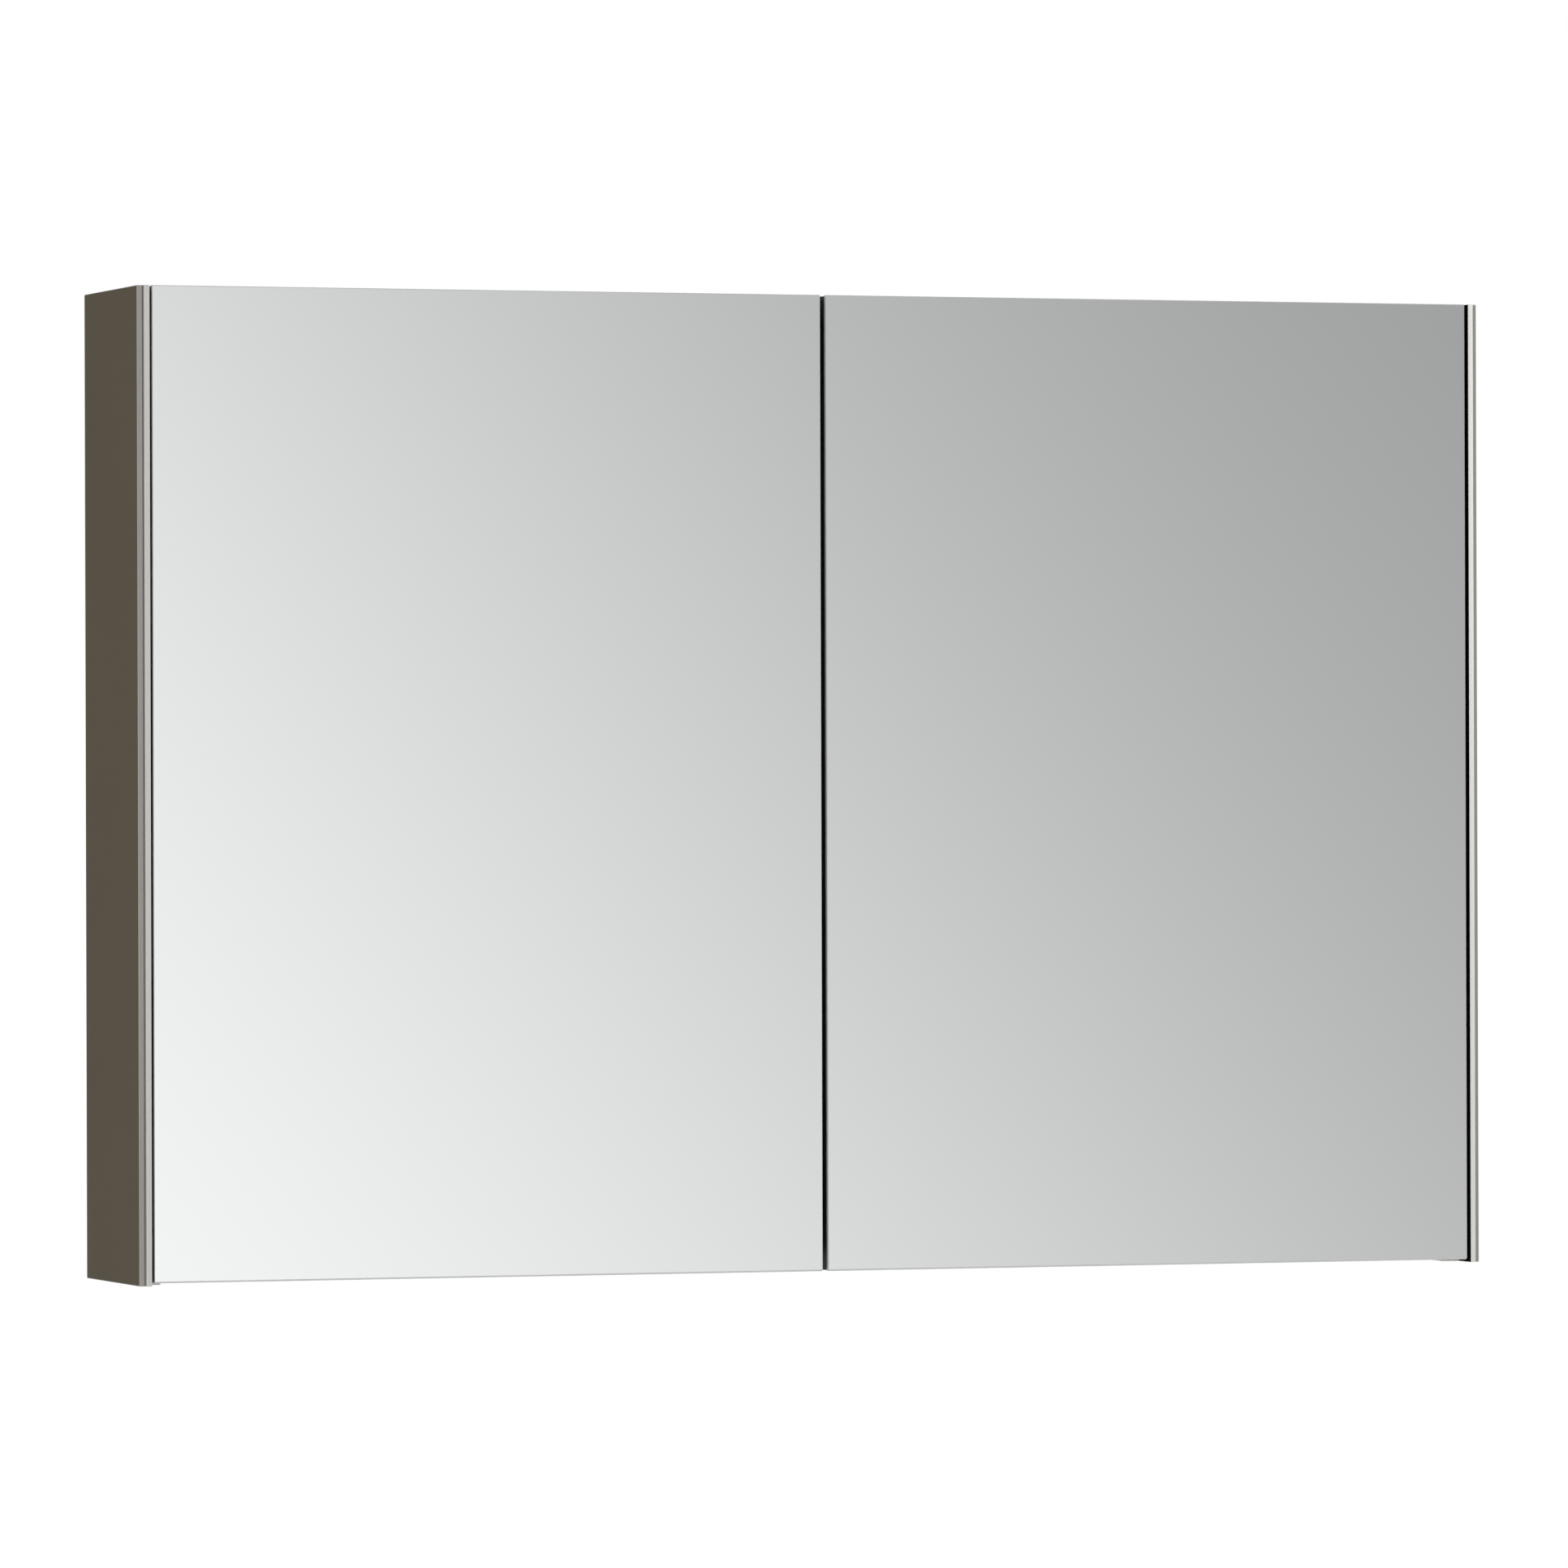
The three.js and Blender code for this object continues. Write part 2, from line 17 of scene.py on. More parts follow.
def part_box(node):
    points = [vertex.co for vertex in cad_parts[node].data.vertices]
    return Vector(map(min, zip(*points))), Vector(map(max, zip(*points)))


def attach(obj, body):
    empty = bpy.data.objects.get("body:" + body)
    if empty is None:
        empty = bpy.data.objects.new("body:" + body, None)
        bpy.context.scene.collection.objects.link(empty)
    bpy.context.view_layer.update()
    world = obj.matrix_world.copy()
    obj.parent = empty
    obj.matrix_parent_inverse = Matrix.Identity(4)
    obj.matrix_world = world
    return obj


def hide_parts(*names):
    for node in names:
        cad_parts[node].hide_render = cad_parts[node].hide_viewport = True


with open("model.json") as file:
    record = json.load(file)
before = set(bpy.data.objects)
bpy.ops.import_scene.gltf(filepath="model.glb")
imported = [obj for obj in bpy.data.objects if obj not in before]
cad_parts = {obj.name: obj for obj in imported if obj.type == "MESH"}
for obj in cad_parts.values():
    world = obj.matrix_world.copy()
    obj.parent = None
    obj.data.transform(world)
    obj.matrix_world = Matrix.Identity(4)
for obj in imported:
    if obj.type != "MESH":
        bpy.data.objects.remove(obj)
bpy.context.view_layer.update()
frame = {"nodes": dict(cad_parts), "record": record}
MM = 0.001

# %% [markdown]
# ## The camera
#
# The camera stands to the left of the cabinet, at half its height and about 7 m away. A long lens
# keeps upright edges nearly parallel. Its direction could come from a constraint that tracks the
# cabinet; three plain turns, to the side, up and rolled, are easier to set exactly.

# %% The camera
SENSOR = 36  # mm
LENS = 232.8  # mm
CAMERA_PLACE = (-2.3642, -6.8842, -0.0217)
CAMERA_TURN = (19.092, 0.177, -0.167)  # degrees to the right, up and rolled
FAR_LIMIT = 100


def look(yaw, pitch, roll):
    """The turn of a camera that faces +Y, turned right, then up, then rolled, in degrees."""
    turn_z = Matrix.Rotation(math.radians(-yaw), 4, "Z")
    turn_x = Matrix.Rotation(math.radians(90 + pitch), 4, "X")
    return turn_z @ turn_x @ Matrix.Rotation(math.radians(roll), 4, "Z")


camera = bpy.data.objects.new("camera", bpy.data.cameras.new("camera"))
bpy.context.scene.collection.objects.link(camera)
camera.data.sensor_width = SENSOR
camera.data.lens = LENS
camera.data.clip_end = FAR_LIMIT
camera.matrix_world = Matrix.Translation(CAMERA_PLACE) @ look(*CAMERA_TURN)
bpy.context.scene.camera = camera
bpy.context.scene.view_settings.view_transform = "Standard"
print("camera", tuple(round(v, 3) for v in camera.location))

# %% [markdown]
# ## Colours and nodes
#
# Colours are written as sRGB hex values, as on a paint chart, but the nodes expect linear light,
# so one function turns them. Nodes can be placed by hand in the shader editor. Here one small
# function adds a node with its settings and links, and a finish then reads as a list, from its
# pattern down to its shader.

# %% Colours
def colour(hex_code):
    """An sRGB hex value as the linear colour that the nodes expect."""
    out = []
    for i in (0, 2, 4):
        c = int(hex_code[i:i + 2], 16) / 255
        out.append(c / 12.92 if c <= 0.04045 else ((c + 0.055) / 1.055) ** 2.4)
    return (*out, 1.0)


# %% Nodes
def add(tree, kind, settings=None, **inputs):
    """Adds a node, with its settings, and with values or links on its inputs.

    An input is given by its name, or by its number after an underscore. A node that is given as
    a value is linked by its first output.
    """
    made = tree.nodes.new(kind)
    for name, value in (settings or {}).items():
        setattr(made, name, value)
    for name, value in inputs.items():
        key = int(name[1:]) if name[0] == "_" else name.replace("_", " ")
        if isinstance(value, bpy.types.Node):
            value = value.outputs[0]
        if isinstance(value, bpy.types.NodeSocket):
            tree.links.new(value, made.inputs[key])
        else:
            made.inputs[key].default_value = value
    return made


# %% [markdown]
# ## The studio that the mirrors reflect
#
# A mirror is only as good as what it reflects. A gradient painted on the glass would look stuck
# on from any other side, so the surroundings carry it: a studio whose walls run softly from light
# to dim and back. An image of a studio could do this too, but a wave worked out from the
# direction of each ray is smooth at any size. The camera itself sees plain white, as a backdrop
# would be.

# %% The studio around the cabinet
STUDIO_MEAN = 0.7985  # brightness as the eye judges it, from 0 to 1
STUDIO_SWING = 0.187
GAMMA = 2.2
GRADIENT_X = 2.166  # how fast the wave runs sideways and upwards
GRADIENT_Z = 1.511
MID_DIRECTION = 0.3307 * GRADIENT_X  # where the wave is half way
BACK_SHADE = 0.5  # the wall behind the cabinet is dimmed to this
BACK_SPAN = (0.1, 0.8)  # the dimming grows while a ray turns this far backwards
STUDIO_POWER = 1.04

world = bpy.data.worlds.new("studio")
bpy.context.scene.world = world
world.use_nodes = True
tree = world.node_tree
tree.nodes.clear()
place = add(tree, "ShaderNodeTexCoord").outputs["Generated"]
direction = add(tree, "ShaderNodeSeparateXYZ", Vector=place)
sideways = add(tree, "ShaderNodeMath", {"operation": "MULTIPLY"},
               _0=direction.outputs["X"], _1=GRADIENT_X)
upwards = add(tree, "ShaderNodeMath", {"operation": "MULTIPLY"},
              _0=direction.outputs["Z"], _1=GRADIENT_Z)
along = add(tree, "ShaderNodeMath", {"operation": "ADD"}, _0=sideways, _1=upwards)
phase = add(tree, "ShaderNodeMath", {"operation": "MULTIPLY_ADD"}, _0=along,
            _1=-1 / STUDIO_SWING, _2=MID_DIRECTION / STUDIO_SWING)
wave = add(tree, "ShaderNodeMath", {"operation": "SINE"}, _0=phase)
level = add(tree, "ShaderNodeMath", {"operation": "MULTIPLY_ADD", "use_clamp": True}, _0=wave,
            _1=STUDIO_SWING, _2=STUDIO_MEAN)
light = add(tree, "ShaderNodeMath", {"operation": "POWER"}, _0=level, _1=GAMMA)
behind = add(tree, "ShaderNodeMapRange", Value=direction.outputs["Y"], From_Min=BACK_SPAN[0],
             From_Max=BACK_SPAN[1], To_Min=1.0, To_Max=BACK_SHADE)
shaded = add(tree, "ShaderNodeMath", {"operation": "MULTIPLY"}, _0=light, _1=behind)
seen = add(tree, "ShaderNodeBackground", Color=(1, 1, 1, 1), Strength=1.0)
studio = add(tree, "ShaderNodeBackground", Color=shaded, Strength=STUDIO_POWER)
rays = add(tree, "ShaderNodeLightPath")
mixed = add(tree, "ShaderNodeMixShader", _0=rays.outputs["Is Camera Ray"], _1=studio, _2=seen)
add(tree, "ShaderNodeOutputWorld", Surface=mixed)
print("studio nodes", len(tree.nodes))

# %% [markdown]
# ## Floor and soft boxes
#
# The floor is a disc of pale matt paint, a metre below the middle of the cabinet. A sweep that
# curves up behind the object would hide the horizon, but it would also hide the back of the
# cabinet, so the disc fades out to nothing towards its rim instead, and it is clear from below.
# Three square soft boxes light the set: a large key at the left, a weaker fill at the right and
# one behind, for the views of the back.

# %% A new material and a clean selection
def new_material(name):
    """A material, its empty node tree, and the Object coordinates for its patterns."""
    material = bpy.data.materials.new(name)
    material.use_nodes = True
    made = material.node_tree
    made.nodes.clear()
    return material, made, add(made, "ShaderNodeTexCoord").outputs["Object"]


def deselect():
    """Leaves edit mode and selects nothing."""
    if bpy.context.mode != "OBJECT":
        bpy.ops.object.mode_set(mode="OBJECT")
    bpy.ops.object.select_all(action="DESELECT")


# %% The floor
FLOOR_DROP = 1.0
FLOOR_RADIUS = 5.2
FLOOR_FADE = (1.6, 4.9)  # the paint runs out to nothing between these radii
FLOOR_SIDES = 128

deselect()
bpy.ops.mesh.primitive_circle_add(vertices=FLOOR_SIDES, radius=FLOOR_RADIUS, fill_type="NGON",
                                  location=(0, 0, -FLOOR_DROP))
floor = bpy.context.object
floor.name = "floor"
floor_paint, tree, place = new_material("pale matt floor paint")
flat = add(tree, "ShaderNodeMapping", Vector=place, Scale=(1, 1, 0))
radius = add(tree, "ShaderNodeVectorMath", {"operation": "LENGTH"}, _0=flat)
fade = add(tree, "ShaderNodeMapRange", {"interpolation_type": "SMOOTHSTEP"},
           Value=radius.outputs["Value"], From_Min=FLOOR_FADE[0], From_Max=FLOOR_FADE[1])
under = add(tree, "ShaderNodeNewGeometry").outputs["Backfacing"]
hidden = add(tree, "ShaderNodeMath", {"operation": "MAXIMUM"}, _0=fade, _1=under)
paint = add(tree, "ShaderNodeBsdfPrincipled", Base_Color=colour("E8E7E4"), Roughness=0.9)
clear = add(tree, "ShaderNodeBsdfTransparent")
mixed = add(tree, "ShaderNodeMixShader", _0=hidden, _1=paint, _2=clear)
add(tree, "ShaderNodeOutputMaterial", Surface=mixed)
floor.data.materials.append(floor_paint)
print("floor radius", FLOOR_RADIUS)

# %% The soft boxes
LAMP_AIM = (0, -0.07, 0)
SOFT_BOXES = (  # name, place, width in metres, power in watts
    ("key", (-3.3, -2.7, 1.0), 2.6, 75),
    ("fill", (2.7, -2.3, 0.6), 1.8, 30),
    ("back", (1.6, 3.2, 2.2), 2.4, 60),
)


def soft_box(name, place, size, power):
    """A square area lamp aimed at the middle of the cabinet."""
    lamp = bpy.data.lights.new(name, "AREA")
    lamp.size = size
    lamp.energy = power
    holder = bpy.data.objects.new(name, lamp)
    bpy.context.scene.collection.objects.link(holder)
    aim = (Vector(LAMP_AIM) - Vector(place)).to_track_quat("-Z", "Y")
    holder.matrix_world = Matrix.Translation(place) @ aim.to_matrix().to_4x4()
    return holder


lamps = [soft_box(*row) for row in SOFT_BOXES]
print("lamps", [lamp.name for lamp in lamps])

# %% [markdown]
# ## Tools for the modelling
#
# Every piece starts as a primitive at its real size and place, or as a copy of its measured solid
# where the section has many steps. It is then shaped in edit mode, as by hand. An operator works
# on all that is selected, so each tool first clears the selection, and then selects faces and
# edges by a test on their place and direction.

# %% Names from the frame
BODY_OF = {n: body for body, names in frame["record"]["behaviour"]["bodies"].items() for n in names}
SIDES = {"left": -1, "right": 1}
LEVELS = ("lower", "upper")
AXES = {"x": (0, math.pi / 2, 0), "y": (math.pi / 2, 0, 0), "z": (0, 0, 0)}

# %% Selecting, editing and settling a piece
def choose(piece):
    """Makes one piece the only selected and active one."""
    deselect()
    piece.select_set(True)
    bpy.context.view_layer.objects.active = piece


def edit(piece, faces=None, edges=None):
    """Opens a piece in edit mode with the faces or edges selected that a test accepts."""
    choose(piece)
    mesh = piece.data
    for part in (mesh.vertices, mesh.edges, mesh.polygons):
        part.foreach_set("select", [False] * len(part))
    bpy.context.tool_settings.mesh_select_mode = (False, edges is not None, edges is None)
    for face in mesh.polygons:
        face.select = faces is not None and faces(face.center, face.normal)
    if edges is not None:
        for edge in mesh.edges:
            a, b = (mesh.vertices[i].co for i in edge.vertices)
            edge.select = edges((a + b) / 2, (b - a).normalized())
    bpy.ops.object.mode_set(mode="EDIT")


def settle(piece):
    """Leaves edit mode and puts the piece's place into its mesh."""
    if bpy.context.mode != "OBJECT":
        bpy.ops.object.mode_set(mode="OBJECT")
    choose(piece)
    bpy.ops.object.transform_apply(location=True, rotation=True, scale=True)
    return piece


# %% A block
def block(name, low, high):
    """A box between two corners, in any order."""
    low, high = Vector(low), Vector(high)
    lo = Vector(map(min, low, high))
    hi = Vector(map(max, low, high))
    deselect()
    bpy.ops.mesh.primitive_cube_add(size=1, location=(lo + hi) / 2, scale=hi - lo)
    bpy.context.object.name = name
    return settle(bpy.context.object)


# %% [markdown]
# ## Broken edges
#
# A perfectly sharp corner gives a model away: a real edge is always broken a little, and catches
# a line of light. Each piece is therefore finished with a small bevel. It could be picked edge by
# edge; a Bevel modifier that takes every edge beyond an angle is quicker and misses none. Points
# that the bevel drops on one another are merged. Weighted normals keep large faces truly flat.

# %% Smooth shading and broken edges
DUST = 0.001 * MM  # points closer than this are one
SMOOTH_ANGLE = 40


def shade(piece):
    """Smooth shading that keeps every large flat face truly flat."""
    choose(piece)
    bpy.ops.object.shade_smooth_by_angle(angle=math.radians(SMOOTH_ANGLE))
    modifier = piece.modifiers.new("flat faces", "WEIGHTED_NORMAL")
    modifier.keep_sharp = True
    bpy.ops.object.modifier_apply(modifier=modifier.name)
    return piece


def break_edges(piece, width, segments=2, angle=35):
    """Bevels every edge sharper than an angle, and shades the rest smooth."""
    choose(piece)
    modifier = piece.modifiers.new("broken edges", "BEVEL")
    modifier.width = width
    modifier.segments = segments
    modifier.limit_method = "ANGLE"
    modifier.angle_limit = math.radians(angle)
    modifier.use_clamp_overlap = True
    bpy.ops.object.modifier_apply(modifier=modifier.name)
    edit(piece, faces=lambda middle, normal: True)
    bpy.ops.mesh.remove_doubles(threshold=DUST)
    bpy.ops.mesh.dissolve_degenerate(threshold=DUST)
    return shade(settle(piece))


# %% [markdown]
# ## From a mesh to a piece of the cabinet
#
# A piece may carry several finishes: a pane has a face and an edge. The faces are picked by the
# way they point. At the end a piece is tied to the measured node that it stands for, so that it
# moves with the right body when a door opens.

# %% Coating and fitting
def coat(piece, material, faces=None):
    """Gives a material to a whole piece, or to the faces that a test accepts."""
    if material.name not in [m.name for m in piece.data.materials if m]:
        piece.data.materials.append(material)
    index = [m.name for m in piece.data.materials].index(material.name)
    for face in piece.data.polygons:
        if faces is None or faces(face.center, face.normal):
            face.material_index = index
    return piece


def fit(piece, node):
    """The piece stands for a measured node and moves with its body; the node is hidden."""
    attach(piece, BODY_OF[node])
    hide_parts(node)
    print(f"{piece.name}: {len(piece.data.polygons)} faces for {node}")
    return piece


# %% [markdown]
# ## Finishes of the doors
#
# A mirror is float glass, silvered on its back and sealed with grey paint. Clear glass over a
# silver layer could be modelled as such, but from outside it looks the same as one metal face
# that is almost perfectly smooth, and that renders without noise. The ground edge shows the pale
# depth of the glass. The board behind is covered with dark melamine laminate.
#
# The patterns are worked out from real sizes: a noise of scale 1 has features about a metre wide,
# so its scale is one over the size. A Mapping node stretches a pattern along the way that a
# roller, a die or a grinding wheel ran. A noise rarely leaves the span from 0.3 to 0.7, so a Map
# Range spreads that span over the wanted roughness. On a Mix node set to colours, inputs 6 and 7
# take the two colours and output 2 gives the result.

# %% Settings that the finishes share
BLEND = {"data_type": "RGBA"}  # makes a Mix node mix colours
NOISE_SPAN = {"From_Min": 0.3, "From_Max": 0.7}

# %% Silvered float glass: a nearly perfect mirror, a touch duller where it has been wiped
silver, tree, place = new_material("silvered float glass")
wiped = add(tree, "ShaderNodeMapping", Vector=place, Scale=(0.4, 1, 1))
haze = add(tree, "ShaderNodeTexNoise", Vector=wiped, Scale=1 / (90 * MM), Detail=3.0)
gloss = add(tree, "ShaderNodeMapRange", Value=haze, **NOISE_SPAN, To_Min=0.004, To_Max=0.016)
face = add(tree, "ShaderNodeBsdfPrincipled", Base_Color=colour("F7F8F8"), Metallic=1.0, Roughness=gloss)
add(tree, "ShaderNodeOutputMaterial", Surface=face)

# %% Polished glass edge: the arris shows the pale green-grey depth of the glass
glass_edge, tree, place = new_material("polished float glass edge")
along = add(tree, "ShaderNodeMapping", Vector=place, Scale=(1 / 8, 1, 1 / 8))
depth = add(tree, "ShaderNodeTexNoise", Vector=along, Scale=1 / (6 * MM), Detail=3.0)
tint = add(tree, "ShaderNodeMix", BLEND, Factor=depth, _6=colour("CBD0CE"), _7=colour("DEE1E0"))
wear = add(tree, "ShaderNodeTexNoise", Vector=place, Scale=1 / (3 * MM), Detail=3.0)
gloss = add(tree, "ShaderNodeMapRange", Value=wear, **NOISE_SPAN, To_Min=0.08, To_Max=0.2)
face = add(tree, "ShaderNodeBsdfPrincipled", Base_Color=tint.outputs[2], Roughness=gloss, Coat_Weight=0.6)
add(tree, "ShaderNodeOutputMaterial", Surface=face)

# %% Protective paint on the back of a mirror: even grey, with the fine nap of a spray
mirror_paint, tree, place = new_material("sprayed mirror backing paint")
cloud = add(tree, "ShaderNodeTexNoise", Vector=place, Scale=1 / (25 * MM), Detail=3.0)
tint = add(tree, "ShaderNodeMix", BLEND, Factor=cloud, _6=colour("525956"), _7=colour("626966"))
# The nap of a spray is finer than this; drawn coarser, to show.
nap = add(tree, "ShaderNodeTexNoise", Vector=place, Scale=1 / (1.5 * MM), Detail=3.0)
bump = add(tree, "ShaderNodeBump", Height=nap, Distance=0.03 * MM)
face = add(tree, "ShaderNodeBsdfPrincipled", Base_Color=tint.outputs[2], Roughness=0.6, Normal=bump)
add(tree, "ShaderNodeOutputMaterial", Surface=face)

# %% Dark melamine laminate on the door board: a fine pearl texture from the press plate
laminate, tree, place = new_material("pressed dark melamine laminate")
cloud = add(tree, "ShaderNodeTexNoise", Vector=place, Scale=1 / (40 * MM), Detail=3.0)
tint = add(tree, "ShaderNodeMix", BLEND, Factor=cloud, _6=colour("1A1A1B"), _7=colour("252526"))
pearl = add(tree, "ShaderNodeTexNoise", Vector=place, Scale=1 / (0.7 * MM), Detail=2.0)
bump = add(tree, "ShaderNodeBump", Height=pearl, Distance=0.02 * MM)
face = add(tree, "ShaderNodeBsdfPrincipled", Base_Color=tint.outputs[2], Roughness=0.5, Normal=bump)
add(tree, "ShaderNodeOutputMaterial", Surface=face)

# %% [markdown]
# ## Mirror doors
#
# Each door is a sandwich: a 4 mm mirror glued in front, a dark board, and a second mirror behind.
# The front mirror is cut to size and its edges are ground to a small arris. The lower edge has a
# wider one, because fingers pull there; it shows as a thin line under the mirror. That edge is
# bevelled on its own first, and a second bevel of the square edges leaves it as it is.

# %% Front mirrors
ARRIS = 0.5 * MM
GRIP_ARRIS = 1.2 * MM
NEAR = 1e-5  # metres; places closer than this are the same
FACING = 0.99  # a normal with this much of an axis points along it
SQUARE_ANGLE = 60  # spares the wide arris, which is only half as sharp as a square edge
mirrors = []

for side in SIDES:
    node = f"{side}_door_mirror"
    low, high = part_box(node)
    glass = block(f"{side}_front_mirror", low, high)
    edit(glass, edges=lambda middle, way: middle.y < low.y + NEAR and middle.z < low.z + NEAR)
    bpy.ops.mesh.bevel(offset=GRIP_ARRIS, segments=1, affect="EDGES")
    settle(glass)
    break_edges(glass, ARRIS, segments=1, angle=SQUARE_ANGLE)
    coat(glass, glass_edge)
    coat(glass, silver, lambda middle, normal: normal.y < -FACING)
    coat(glass, mirror_paint, lambda middle, normal: normal.y > FACING)
    mirrors.append(fit(glass, node))

# %% [markdown]
# ## Door boards and inner mirrors
#
# The board has bores for the two hinge cups, and the inner mirror has notches around them. Both
# could be rebuilt from blocks and cuts, but their measured solids already hold these shapes
# exactly. A solid comes as loose triangles, so a copy is welded and its flat faces are made whole
# before the edges are broken.

# %% A welded copy of a measured solid
WELD = 0.002 * MM
FLAT_ANGLE = 0.5


def merged_copy(node, name):
    """A copy of a measured node as one welded skin with its flat faces whole."""
    piece = bpy.data.objects.new(name, frame["nodes"][node].data.copy())
    bpy.context.scene.collection.objects.link(piece)
    piece.data.materials.clear()
    choose(piece)
    bpy.ops.object.mode_set(mode="EDIT")
    bpy.ops.mesh.select_all(action="SELECT")
    bpy.ops.mesh.remove_doubles(threshold=WELD)
    bpy.ops.mesh.dissolve_limited(angle_limit=math.radians(FLAT_ANGLE))
    return settle(piece)


# %% Door boards and inner mirrors
BOARD_EDGE = 0.3 * MM
INNER_ARRIS = 0.4 * MM

for side in SIDES:
    node = f"{side}_door_core"
    board = break_edges(merged_copy(node, f"{side}_door_board"), BOARD_EDGE)
    fit(coat(board, laminate), node)
    node = f"{side}_door_inner_mirror"
    glass = break_edges(merged_copy(node, f"{side}_inside_mirror"), INNER_ARRIS, segments=1)
    coat(glass, glass_edge)
    coat(glass, silver, lambda middle, normal: normal.y > FACING)
    coat(glass, mirror_paint, lambda middle, normal: normal.y < -FACING)
    mirrors.append(fit(glass, node))

# %% [markdown]
# ## Lamps kept off the mirrors
#
# A mirror shows a lamp as a burnt-out white square. A black flag hung between the two would keep
# it off; light linking does the same here. The lamps skip the mirrors, which then reflect only
# the soft studio and the pieces around them.

# %% Light linking
flagged = bpy.data.collections.new("flagged off from the lamps")
for glass in mirrors:
    flagged.objects.link(glass)
for entry in flagged.collection_objects:
    entry.light_linking.link_state = "EXCLUDE"
for lamp in lamps:
    lamp.light_linking.receiver_collection = flagged
print("mirrors without lamps", [glass.name for glass in mirrors])

# %% [markdown]
# ## Finishes of the sides
#
# The side is glass whose outer face is etched with acid to a satin and whose inner face carries
# taupe lacquer. The eye meets one deep, even colour with hardly any shine, so one opaque shader
# with a low specular level stands for glass and lacquer together. Its edge is ground, not
# polished. The profile behind it is extruded aluminium, etched and anodised. The inner faces of
# its lip beside the door are coloured near black, as painted shade for the dark gap beside the
# door, and its ends are closed by moulded caps.

# %% Back-lacquered glass: the acid-etched face takes the shine off a deep taupe colour
taupe_glass, tree, place = new_material("acid etched glass with taupe lacquer")
cloud = add(tree, "ShaderNodeTexNoise", Vector=place, Scale=1 / (160 * MM), Detail=3.0)
tint = add(tree, "ShaderNodeMix", BLEND, Factor=cloud, _6=colour("483E2D"), _7=colour("4F4532"))
# The real etch is finer than 0.1 mm; drawn coarser, to show.
etch = add(tree, "ShaderNodeTexNoise", Vector=place, Scale=1 / (0.7 * MM), Detail=3.0)
satin = add(tree, "ShaderNodeMapRange", Value=etch, **NOISE_SPAN, To_Min=0.36, To_Max=0.44)
bump = add(tree, "ShaderNodeBump", Height=etch, Distance=0.004 * MM)
face = add(tree, "ShaderNodeBsdfPrincipled", Base_Color=tint.outputs[2], Roughness=satin,
           Specular_IOR_Level=0.17, Normal=bump)
add(tree, "ShaderNodeOutputMaterial", Surface=face)

# %% Ground glass edge: dull grey, with faint marks where the grinding wheel crossed it
ground_edge, tree, place = new_material("ground glass edge")
across = add(tree, "ShaderNodeMapping", Vector=place, Scale=(1 / 6, 1 / 6, 1))
# The marks of the wheel are finer than this; drawn coarser, to show.
marks = add(tree, "ShaderNodeTexNoise", Vector=across, Scale=1 / (0.8 * MM), Detail=3.0)
tint = add(tree, "ShaderNodeMix", BLEND, Factor=marks, _6=colour("8D8B87"), _7=colour("979591"))
bump = add(tree, "ShaderNodeBump", Height=marks, Distance=0.008 * MM)
face = add(tree, "ShaderNodeBsdfPrincipled", Base_Color=tint.outputs[2], Roughness=0.5, Normal=bump)
add(tree, "ShaderNodeOutputMaterial", Surface=face)

# %% Anodised aluminium: faint die lines run along the extrusion under a fine satin etch
anodised, tree, place = new_material("satin anodised aluminium extrusion")
along = add(tree, "ShaderNodeMapping", Vector=place, Scale=(1, 1, 1 / 800))
lines = add(tree, "ShaderNodeTexNoise", Vector=along, Scale=1 / (0.5 * MM), Detail=2.0)
tint = add(tree, "ShaderNodeMix", BLEND, Factor=lines, _6=colour("CDCCC9"), _7=colour("D5D4D1"))
# The pits of the etch are far finer; drawn coarser, to show.
etch = add(tree, "ShaderNodeTexNoise", Vector=place, Scale=1 / (0.6 * MM), Detail=3.0)
satin = add(tree, "ShaderNodeMapRange", Value=etch, **NOISE_SPAN, To_Min=0.44, To_Max=0.52)
bump = add(tree, "ShaderNodeBump", Height=lines, Distance=0.003 * MM)
face = add(tree, "ShaderNodeBsdfPrincipled", Base_Color=tint.outputs[2], Metallic=1.0, Roughness=satin,
           Normal=bump)
add(tree, "ShaderNodeOutputMaterial", Surface=face)

# %% Painted shade inside the lip: near-black paint with a fine bump, standing for the dark gap beside a door
lip_gap_painted_shade, tree, place = new_material("near-black painted shade in the lip gap")
fine_noise = add(tree, "ShaderNodeTexNoise", Vector=place, Scale=1 / (0.5 * MM), Detail=3.0)
tint = add(tree, "ShaderNodeMix", BLEND, Factor=fine_noise, _6=colour("020202"), _7=colour("080808"))
bump = add(tree, "ShaderNodeBump", Height=fine_noise, Distance=0.1 * MM)
face = add(tree, "ShaderNodeBsdfPrincipled", Base_Color=tint.outputs[2], Roughness=1.0,
           Specular_IOR_Level=0.05, Normal=bump)
add(tree, "ShaderNodeOutputMaterial", Surface=face)

# %% Moulded ABS: the matt nap of a spark-eroded mould
plastic, tree, place = new_material("moulded ABS with eroded texture")
cloud = add(tree, "ShaderNodeTexNoise", Vector=place, Scale=1 / (50 * MM), Detail=3.0)
tint = add(tree, "ShaderNodeMix", BLEND, Factor=cloud, _6=colour("888784"), _7=colour("959491"))
# The eroded nap is about 0.1 mm; drawn coarser, to show.
nap = add(tree, "ShaderNodeTexNoise", Vector=place, Scale=1 / (0.5 * MM), Detail=1.0)
bump = add(tree, "ShaderNodeBump", Height=nap, Distance=0.02 * MM)
face = add(tree, "ShaderNodeBsdfPrincipled", Base_Color=tint.outputs[2], Roughness=0.55, Normal=bump)
add(tree, "ShaderNodeOutputMaterial", Surface=face)

# %% [markdown]
# ## Side panels and profiles
#
# The glass is bonded to a hollow aluminium extrusion, whose thin lip stands a little in front of
# it beside the door. The panel is a plain block with a ground arris all round. The extrusion
# could be drawn as a section and extruded; its measured solid is that already, and it only gets
# the small radii that every die has.

